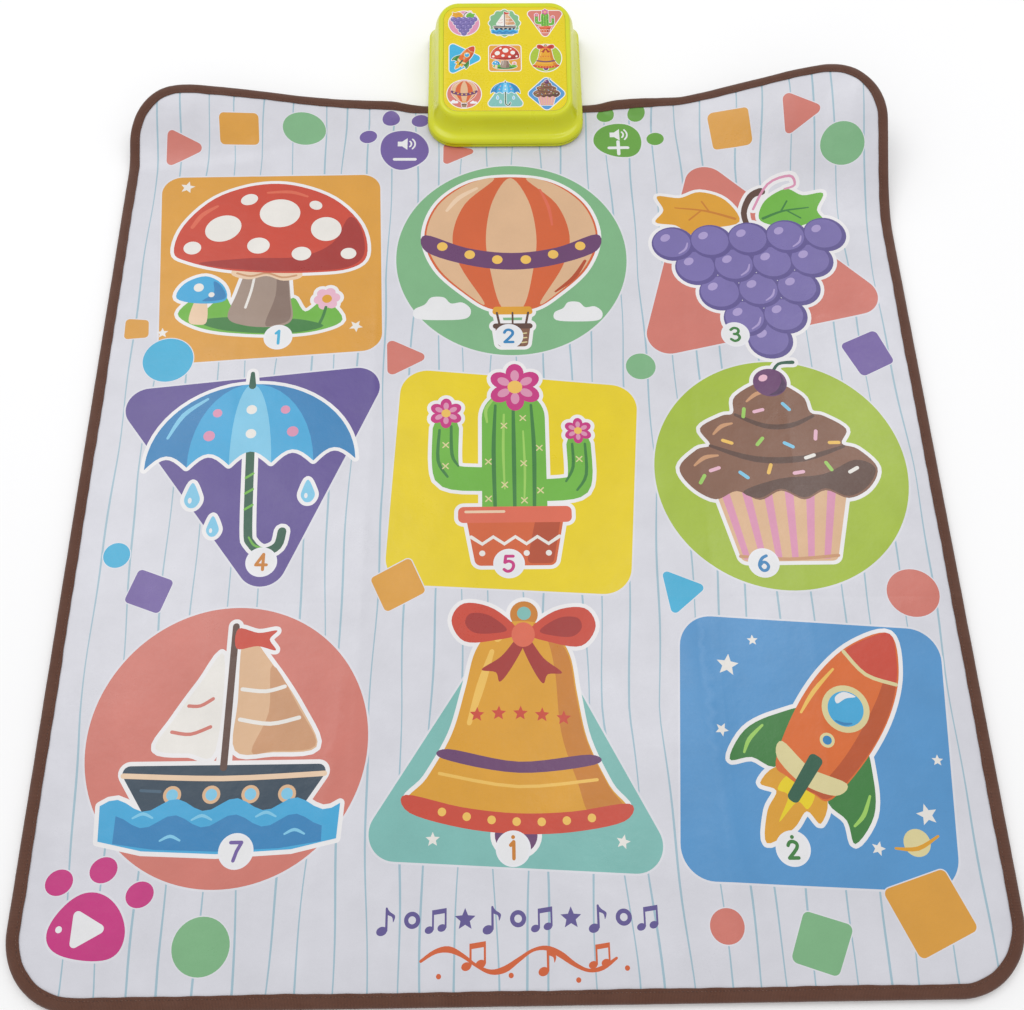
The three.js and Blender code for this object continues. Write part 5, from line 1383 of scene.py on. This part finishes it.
for i in range(ns):
    j = (i + 1) % ns
    for q in range(nk):
        r = (q + 1) % nk
        faces.append((i * nk + q, j * nk + q, j * nk + r, i * nk + r))
        uvs += [(arcs[i], girth[q]), (arcs[i + 1], girth[q]), (arcs[i + 1], girth[q + 1]), (arcs[i], girth[q + 1])]
me = mesh_from("edge_tape", co, faces)
layer = me.uv_layers.new(name="Weave")
# one rib of the weave is 1.1 mm along the tape and 0.8 mm across it
layer.data.foreach_set("uv", (np.array(uvs, np.float32) * np.array((0.31 / 1.1, 0.31 / 0.8), np.float32)).ravel())
tape = new_object("edge_tape", me)
me.shade_smooth()
give(tape, TAPE)
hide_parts("edge_binding_rear", "edge_binding_front")
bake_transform(tape)


def at_arc(s, inset):
    """Plan point and direction on the edge at arc length s."""
    s = s % total
    i = int(np.searchsorted(arc, s, side="right") - 1)
    j = (i + 1) % ns
    t = (s - arc[i]) / max(arcs[i + 1] - arc[i], 1e-9)
    p = ring[i] * (1 - t) + ring[j] * t
    n = inward[i] * (1 - t) + inward[j] * t
    n /= np.linalg.norm(n)
    return p + n * inset, np.array((n[1], -n[0])), n


def stitches(name, inset, z, up):
    count = int(total / 3.6)
    verts, faces = [], []
    for k in range(count):
        s0 = total * (k + 0.14) / count
        s1 = total * (k + 0.80) / count
        base = len(verts)
        for a, (t, h, wd) in enumerate(((0.0, -0.12, 0.14), (0.2, 0.16, 0.24), (0.5, 0.24, 0.27), (0.8, 0.16, 0.24), (1.0, -0.12, 0.14))):
            p, d, n = at_arc(s0 + (s1 - s0) * t, inset)
            lz = float(lift(p[0], p[1])) + (z / 6.6) * float(lift(p[0], p[1], 1.0) - lift(p[0], p[1]))
            for q in range(6):
                c, e = math.cos(math.pi / 3 * q), math.sin(math.pi / 3 * q)
                verts.append((p[0] + n[0] * wd * c, p[1] + n[1] * wd * c, z + lz + up * (h + wd * 0.8 * e)))
            if a:
                for q in range(6):
                    r = (q + 1) % 6
                    faces.append((base + (a - 1) * 6 + q, base + (a - 1) * 6 + r, base + a * 6 + r, base + a * 6 + q))
        faces.append(tuple(base + q for q in range(5, -1, -1)))
        faces.append(tuple(base + 24 + q for q in range(6)))
    o = new_object(name, mesh_from(name, verts, faces))
    fix_normals(o.data)
    o.data.shade_smooth()
    give(o, THREAD)
    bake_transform(o)
    return o


top_stitch = stitches("tape_stitching_top", 8.6, 6.58, 1)

# ------------------------------------------------------------------ backing with its grip dots
back_outline = rounded_rect(11.3, 16, 12.0)
plate_hole = [(-75.4, 394.6), (75.4, 394.6), (75.4, 432.4), (-75.4, 432.4)]
back_points = [p for p in grid_points(-388, 388, -438, 250, 22.0)]
back_points += [p for p in grid_points(-388, 388, 262, 398, 13.0)] + [p for p in grid_points(-388, 388, 403, 438, 5.5) if abs(p[0]) > 80 or p[1] < 390]
bv, bt = triangulate([back_outline, plate_hole], fold_rows, back_points)
bm_ = bv[bt].mean(axis=1)
bt = bt[inside(bm_, back_outline) & ~inside(bm_, plate_hole)]


def back_top(x, y):
    return 0.7 + lift(x, y)


backing = flat_sheet("grip_backing", bv, bt, back_top, lambda x, y: back_top(x, y) - 0.42, None, (0.3, 0.3, 0.3), lambda x, y: slopes(back_top, x, y))
give(backing, BACKING)
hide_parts("grip_base_rear", "grip_base_front")
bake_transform(backing)

verts, faces = [], []
for x, y in grid_points(-382, 382, -432, 432, 13.0):
    if edge_distance(np.array(x), np.array(y)) < 16 or (abs(x) < 80 and 389 < y < 438) or abs(y - FOLD_Y) < 7.5:
        continue
    z = float(lift(np.array(x), np.array(y)))
    gx, gy = slopes(lambda a, b: lift(a, b), np.array(x), np.array(y))
    base = len(verts)
    for r, h in ((2.3, 0.32), (2.1, 0.12), (1.5, 0.02)):
        verts += [(x + r * math.cos(math.pi / 4 * q), y + r * math.sin(math.pi / 4 * q),
                   z + h + float(gx) * r * math.cos(math.pi / 4 * q) + float(gy) * r * math.sin(math.pi / 4 * q)) for q in range(8)]
    for a in (0, 8):
        faces += [(base + a + q, base + a + 8 + q, base + a + 8 + (q + 1) % 8, base + a + (q + 1) % 8) for q in range(8)]
    faces.append(tuple(base + q for q in range(8)))
    faces.append(tuple(base + 16 + q for q in range(7, -1, -1)))
dots = new_object("grip_dots", mesh_from("grip_dots", verts, faces))
fix_normals(dots.data)
smooth_by_angle(dots, 50)
give(dots, DOTS)
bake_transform(dots)

# ------------------------------------------------------------------ control box
def box_plan(hx, y0, y1, rf, rr, seg=14):
    pts = rounded([(-hx, y0), (hx, y0), (hx, y1), (-hx, y1)], [rf, rf, rr, rr], seg)
    out = []
    n = len(pts)
    per = [12, 14, 12, 14]
    for c in range(4):
        out += pts[c * (seg + 1):(c + 1) * (seg + 1)]
        a, b = pts[(c + 1) * (seg + 1) - 1], pts[((c + 1) * (seg + 1)) % n]
        k = per[c]
        out += [(a[0] + (b[0] - a[0]) * t / k, a[1] + (b[1] - a[1]) * t / k) for t in range(1, k)]
    return out


def loft(name, rings):
    n = len(rings[0])
    verts = [p for r in rings for p in r]
    faces = []
    for k in range(len(rings) - 1):
        for i in range(n):
            j = (i + 1) % n
            faces.append((k * n + i, k * n + j, (k + 1) * n + j, (k + 1) * n + i))
    faces.append(tuple(range(n - 1, -1, -1)))
    faces.append(tuple((len(rings) - 1) * n + i for i in range(n)))
    return new_object(name, mesh_from(name, verts, faces))


def in_between(stations, count):
    """Rings between the given ones, on a smooth curve through them. Each is (hx, y0, y1, rf, rr, z, slope share)."""
    s = np.array(stations, float)
    t = np.concatenate([[0], np.cumsum(np.hypot(np.diff(s[:, 0]), np.diff(s[:, 5])))])
    out = []
    for i in range(len(s) - 1):
        m0 = (s[i + 1] - s[i - 1]) / (t[i + 1] - t[i - 1]) if i else (s[1] - s[0]) / (t[1] - t[0])
        m1 = (s[i + 2] - s[i]) / (t[i + 2] - t[i]) if i + 2 < len(s) else (s[i + 1] - s[i]) / (t[i + 1] - t[i])
        h = t[i + 1] - t[i]
        for k in range(count[i]):
            u = k / count[i]
            out.append((2 * u ** 3 - 3 * u * u + 1) * s[i] + (u ** 3 - 2 * u * u + u) * h * m0
                       + (-2 * u ** 3 + 3 * u * u) * s[i + 1] + (u ** 3 - u * u) * h * m1)
    out.append(s[-1])
    return out


def ring_at(v):
    hx, y0, y1, rf, rr, z, share = v
    return [(x, y, z + share * SLOPE * (y - 410)) for x, y in box_plan(hx, y0, y1, max(rf, 0.5), max(rr, 0.5))]


OUTER = [(83.6, 391.4, 558.6, 31.8, 13.9, 10.0, 0), (84.0, 391.0, 559.0, 32, 14, 10.8, 0), (83.3, 391.7, 558.3, 31.5, 13.8, 13.2, 0), (81.2, 394.0, 557.2, 30, 14.5, 15.4, 0),
         (77.4, 398.6, 555.0, 27.6, 17, 17.6, 0.35), (75.0, 402.0, 552.4, 25.4, 19.4, 21.2, 0.9), (73.4, 404.6, 550.3, 24.2, 21, 26.0, 1),
         (71.9, 406.8, 548.4, 23.2, 22, 31.2, 1), (70.7, 408.2, 547.0, 22.2, 21.6, 33.4, 1), (68.9, 409.8, 545.4, 20.8, 20.2, 34.42, 1), (67.2, 411.4, 543.8, 19.4, 18.8, 34.5, 1)]
INNER = [(81.6, 393.4, 556.6, 29.6, 11.6, 9.0, 0), (81.2, 393.8, 556.2, 29.4, 11.8, 12.6, 0), (78.6, 396.8, 554.8, 27.6, 12.4, 14.4, 0),
         (74.6, 401.6, 552.4, 24.9, 15.2, 16.6, 0.35), (72.4, 404.9, 549.9, 23, 17.6, 20.6, 0.9), (69.6, 409.0, 546.2, 21, 19.8, 30.4, 1), (66.4, 412.4, 542.8, 18.4, 18.2, 31.6, 1)]


def put_on_top(o):
    o.data.transform(Matrix.Translation(Vector(TOP_C) * MM) @ Matrix.Rotation(TILT, 4, "X"))
    return o


def box_mesh(name, x0, x1, y0, y1, z0, z1):
    v = [(x, y, z) for z in (z0, z1) for x, y in ((x0, y0), (x1, y0), (x1, y1), (x0, y1))]
    f = [(3, 2, 1, 0), (4, 5, 6, 7), (0, 1, 5, 4), (1, 2, 6, 5), (2, 3, 7, 6), (3, 0, 4, 7)]
    return new_object(name, mesh_from(name, v, f))


def prism_mesh(name, pts, z0, z1):
    n = len(pts)
    v = [(x, y, z0) for x, y in pts] + [(x, y, z1) for x, y in pts]
    f = [tuple(range(n - 1, -1, -1)), tuple(range(n, 2 * n))] + [(i, (i + 1) % n, n + (i + 1) % n, n + i) for i in range(n)]
    return new_object(name, mesh_from(name, v, f))


def cyl_mesh(name, r, z0, z1, x, y, n=40):
    return prism_mesh(name, [(x + r * math.cos(2 * math.pi * i / n), y + r * math.sin(2 * math.pi * i / n)) for i in range(n)], z0, z1)


def combine(o, others, operation):
    """Boolean with each of the others in turn, which are then removed."""
    for c in others:
        m = o.modifiers.new("cut", "BOOLEAN")
        m.operation = operation
        m.solver = "EXACT"
        m.object = c
        bpy.context.view_layer.update()
        dg = bpy.context.evaluated_depsgraph_get()
        me = bpy.data.meshes.new_from_object(o.evaluated_get(dg))
        o.modifiers.clear()
        old = o.data
        o.data = me
        bpy.data.meshes.remove(old)
        bpy.data.objects.remove(c)
    return o


def bevelled(o, width, segments=2, degrees=40):
    m = o.modifiers.new("edges", "BEVEL")
    m.width = width * MM
    m.segments = segments
    m.limit_method = "ANGLE"
    m.angle_limit = math.radians(degrees)
    m.use_clamp_overlap = True
    m.harden_normals = False
    return o


shell = loft("upper_housing_shell", [ring_at(v) for v in in_between(OUTER, [3, 5, 5, 5, 5, 3, 4, 4, 4, 2])])
hollow = loft("hollow", [ring_at(v) for v in in_between(INNER, [2, 4, 4, 4, 4, 3])])
label_pts = rounded([(-66, -64.5), (66, -64.5), (66, 64.5), (-66, 64.5)], 16, 14)
recess = put_on_top(prism_mesh("recess", label_pts, -0.9, 6))
CELLS = [(43.0 * c, 43.0 * r) for r in (1, 0, -1) for c in (-1, 0, 1)]
windows = [put_on_top(prism_mesh("window", rounded([(x - 14, y - 14), (x + 14, y - 14), (x + 14, y + 14), (x - 14, y + 14)], 2.5, 4), -8, 4)) for x, y in CELLS]
combine(shell, [hollow, recess] + windows, "DIFFERENCE")
CASE = [(-68, 464), (68, 464), (-66, 541), (66, 541)]
slot_pts = rounded([(37.5, 26.8), (54.5, 26.8), (54.5, 33.2), (37.5, 33.2)], 1.2, 4)
slot_cut = prism_mesh("slot", slot_pts, 540, 562)
slot_cut.data.transform(Matrix(((1, 0, 0, 0), (0, 0, 1, 0), (0, 1, 0, 0), (0, 0, 0, 1))))
fix_normals(slot_cut.data)
combine(shell, [slot_cut], "DIFFERENCE")
towers = [cyl_mesh("tower", 3.6, 15, 34.5 + SLOPE * (y - 410) - 2.6, x, y, 32) for x, y in CASE]
for c in towers:
    combine(c, [loft("limit", [ring_at(v) for v in in_between(OUTER, [3, 5, 5, 5, 5, 3, 4, 4, 4, 2])])], "INTERSECT")
combine(shell, towers, "UNION")
combine(shell, [cyl_mesh("pilot", 1.7, 14, 30, x, y, 20) for x, y in CASE], "DIFFERENCE")
smooth_by_angle(shell, 38)
give(shell, SHELL)
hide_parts("upper_housing")
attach(shell, "mat")

# label, a glossy printed sheet with nine indicator pictures
lab = []
BACK = ["pink", "green", "coral", "sky", "orange", "lime", "coral", "teal", "blue"]
GROWTH = [1.0, 1.0, 1.13, 1.15, 1.08, 1.05, 1.10, 1.13, 1.12]
for i, (x, y) in enumerate(CELLS):
    x, y, kind = x * 1.02, y * 1.02, i
    if kind in (0, 6):
        pts = ellipse(x, y, 15.6, 14.6, 0, 48)
    elif kind == 1:
        pts = [(x + (15.6 + 0.8 * math.cos(12 * q)) * math.cos(q), y + (15.6 + 0.8 * math.cos(12 * q)) * math.sin(q)) for q in np.linspace(0, 2 * math.pi, 96, endpoint=False)]
    elif kind == 2:
        pts = rounded([(x, y - 17), (x + 18, y + 13), (x - 18, y + 13)], 3.2, 6)
    elif kind == 3:
        pts = rounded([(x - 13, y - 17), (x + 17.5, y), (x - 13, y + 17)], 3.2, 6)
    elif kind == 4:
        pts = rounded([(x - 15, y - 14), (x + 15, y - 14), (x + 15, y + 14), (x - 15, y + 14)], 2.5, 6)
    elif kind == 5:
        pts = ellipse(x, y, 15.2, 15.2, 0, 48)
    elif kind == 7:
        pts = rounded([(x - 18, y - 13), (x + 18, y - 13), (x, y + 15)], 3.2, 6)
    else:
        pts = rounded([(x, y - 18), (x + 18, y), (x, y + 18), (x - 18, y)], 4, 6)
    zoom = GROWTH[i]
    pts = ccw([(x + (px - x) * 1.05 * zoom, y + (py - y) * 1.05 * zoom) for px, py in pts])
    lab.append((grown(pts, 0.9), "halo", 0))
    lab.append((pts, BACK[i], 0))
    order = [2, 6, 4, 8, 0, 7, 1, 3, 5][i]
    small = placed(MOTIFS[order], x, y + (1.5 if kind == 2 else 0), (0.149 if kind != 2 else 0.131) * (0.4 + 0.6 * zoom), -36 if order == 8 else 0)
    for p_, ink, outer in small:
        if outer:
            lab.append((grown(p_, 0.55), "halo", 0))
    lab += small
label_edge = rounded([(-65.7, -64.2), (65.7, -64.2), (65.7, 64.2), (-65.7, 64.2)], 15.7, 14)
lv, lt = triangulate([label_edge] + [a[0] for a in lab], [], grid_points(-65, 65, -64, 64, 5.0))
lm = lv[lt].mean(axis=1)
lt = lt[inside(lm, label_edge)]
lm = lv[lt].mean(axis=1)
lab_ink = np.tile(np.array(srgb(*INK["label"])), (len(lm), 1))
for pts, ink, _ in lab:
    hit = inside(lm, pts)
    if hit.any():
        lab_ink[hit] = srgb(*INK[ink])


def label_top(x, y):
    d = np.minimum(65.7 - np.abs(x), 64.2 - np.abs(y))
    q = np.hypot(np.maximum(np.abs(x) - 50, 0), np.maximum(np.abs(y) - 48.5, 0))
    d = np.minimum(d, 15.7 - q)
    return 0.02 + 0.18 * smooth_step(d / 1.6)


label = flat_sheet("indicator_label_print", lv, lt, label_top, lambda x, y: 0 * x - 0.6, lab_ink * 0.95, (0.6, 0.55, 0.1),
                   lambda x, y: slopes(label_top, x, y, 0.1), ((-66, -66), (66, 66)))
put_on_top(label)
give(label, PRINT_LABEL)
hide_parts("indicator_label")
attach(label, "mat")
print("label", len(lt))

# lower housing
STEP_Y = 451.2
tray = prism_mesh("lower_housing_tray", box_plan(84, 391, 559, 32, 14), 1.8, 9.7)
combine(tray, [box_mesh("c", -90, 90, 380, STEP_Y, 0, 7.0)], "DIFFERENCE")
room = prism_mesh("room", box_plan(81.8, 393.2, 556.8, 29.8, 11.8), 3.8, 20)
combine(room, [box_mesh("c", -90, 90, 380, STEP_Y + 2, 0, 9.0)], "DIFFERENCE")
combine(tray, [room], "DIFFERENCE")
combine(tray, [box_mesh("bay", -34.1, 34.1, 479.4, 531.6, 2.8, 21.8)] + [cyl_mesh("post", 4.6, 1.8, 14.7, x, y, 36) for x, y in CASE]
        + [box_mesh("boss", -4.2, 4.2, 471.3, 481, 2.8, 13)], "UNION")
cuts = [box_mesh("c", -32.5, 32.5, 481, 530, 0, 20.2), cyl_mesh("c", 1.8, 0, 11, 0, 475.3, 24), box_mesh("c", -33.8, 33.8, 470.2, 531.3, 0, 3.9)]
for x, y in CASE:
    cuts += [cyl_mesh("c", 1.7, 0, 20, x, y, 24), cyl_mesh("c", 3.4, 0, 6, x, y, 36)]
cuts += [cyl_mesh("c", 1.9, 5, 12, x, 404, 24) for x in (-58, 0, 58)]
cuts += [box_mesh("c", -27, 27, 422.5, 425.5, 5, 12)]
for d in (-10, -5, 0, 5, 10):
    h = math.sqrt(196 - d * d)
    cuts.append(prism_mesh("c", rounded([(-58 + d, 503 - h), (-56 + d, 503 - h), (-56 + d, 503 + h), (-58 + d, 503 + h)], 0.95, 5), 0, 8))
combine(tray, cuts, "DIFFERENCE")
smooth_by_angle(tray, 38)
bevelled(tray, 0.35, 2, 55)
give(tray, TRAY)
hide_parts("lower_housing")
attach(tray, "mat")

# battery door with finger ribs and a counterbored hole for its screw
door = prism_mesh("battery_door_cover", rounded([(-33.5, 470.5), (33.5, 470.5), (33.5, 531), (-33.5, 531)], [3, 3, 1.2, 1.2], 6), 1.8, 3.6)
combine(door, [cyl_mesh("c", 1.6, 0, 6, 0, 475.3, 28), cyl_mesh("c", 3.0, 0, 3.0, 0, 475.3, 36)]
        + [prism_mesh("c", rounded([(-9, 484 + 3.2 * k), (9, 484 + 3.2 * k), (9, 485.4 + 3.2 * k), (-9, 485.4 + 3.2 * k)], 0.65, 4), 0, 2.3) for k in range(4)], "DIFFERENCE")
smooth_by_angle(door, 38)
bevelled(door, 0.3, 2, 55)
give(door, TRAY)
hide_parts("battery_door")
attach(door, "battery_cover")

# feet and screws
for i, (x, y) in enumerate([(-50, 468), (50, 468), (-50, 546), (50, 546)]):
    f = revolve(f"rubber_foot_{i + 1}_round", [(0, 0.12), (2.6, 0.1), (3.9, 0.0), (4.5, 0.2), (4.9, 0.7), (5.0, 1.5), (0, 1.5)], (x, y))
    smooth_by_angle(f, 40)
    give(f, RUBBER)
    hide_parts(f"rubber_foot_{i + 1}")
    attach(f, "mat")


def screw(name, node, profile, x, y, head_z, up, body, r):
    o = revolve(name, profile, (x, y), 36)
    arms = []
    for q in (0, 1):
        c = box_mesh("c", -r * 0.55, r * 0.55, -r * 0.13, r * 0.13, -0.9, 0.9)
        c.data.transform(Matrix.Translation(Vector((x, y, head_z)) * MM) @ Matrix.Rotation(math.pi / 2 * q + 0.4, 4, "Z"))
        arms.append(c)
    combine(o, arms, "DIFFERENCE")
    smooth_by_angle(o, 40)
    give(o, STEEL)
    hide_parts(node)
    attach(o, body)
    return o


for i, (x, y) in enumerate(CASE):
    screw(f"case_screw_{i + 1}_pan", f"case_screw_{i + 1}", [(0, 3.8), (2.2, 3.8), (2.75, 4.05), (2.9, 4.6), (2.9, 5.7), (1.35, 5.7), (1.35, 22), (0, 23.2)], x, y, 3.8, -1, "mat", 2.9)
screw("battery_door_screw_pan", "battery_door_screw", [(0, 1.9), (2.1, 1.9), (2.5, 2.05), (2.6, 2.4), (2.6, 2.7), (1.2, 2.7), (1.2, 6), (0, 6.6)], 0, 475.3, 1.5, -1,
      next(b for b, ns_ in frame["record"]["behaviour"]["bodies"].items() if "battery_door_screw" in ns_), 2.6)

for n in ("power_slider", "power_switch_body", "mat_clamp_plate", "battery_contact_left", "battery_contact_right"):
    bevelled(frame["nodes"][n], 0.3 if "contact" not in n else 0.1, 2, 50)

# ------------------------------------------------------------------ floor and light
me = bpy.data.meshes.new("floor")
me.from_pydata([(-9, -9, 0), (9, -9, 0), (9, 9, 0), (-9, 9, 0)], [], [(0, 1, 2, 3)])
floor = new_object("floor", me)
floor.location.z = -0.0002
k = Look("pale_floor")
k.base(k.mix(k.range(k.noise(3, 2), 0.3, 0.7, 0, 1), (0.945, 0.945, 0.95), (0.96, 0.96, 0.965)))
k.set(Roughness=0.9, Specular_IOR_Level=0.1)
give(floor, k.m)

world = bpy.data.worlds.new("studio")
scene.world = world
world.use_nodes = True
wb = world.node_tree.nodes["Background"]
wb.inputs["Color"].default_value = (1.0, 1.0, 1.0, 1)
wb.inputs["Strength"].default_value = 0.78


def area(name, place, target, size, size_y, energy, colour=(1, 1, 1)):
    d = bpy.data.lights.new(name, "AREA")
    d.shape = "RECTANGLE"
    d.size, d.size_y, d.energy, d.color = size, size_y, energy, colour
    o = bpy.data.objects.new(name, d)
    scene.collection.objects.link(o)
    o.location = place
    o.rotation_mode = "QUATERNION"
    o.rotation_quaternion = (Vector(target) - Vector(place)).to_track_quat("-Z", "Y")
    return o


area("key_softbox", (-1.1, 0.9, 2.3), (0, 0, 0), 1.4, 1.4, 14)
area("strip_right", (0.75, 0.7, 2.0), (0.1, -0.05, 0), 0.22, 1.9, 7)
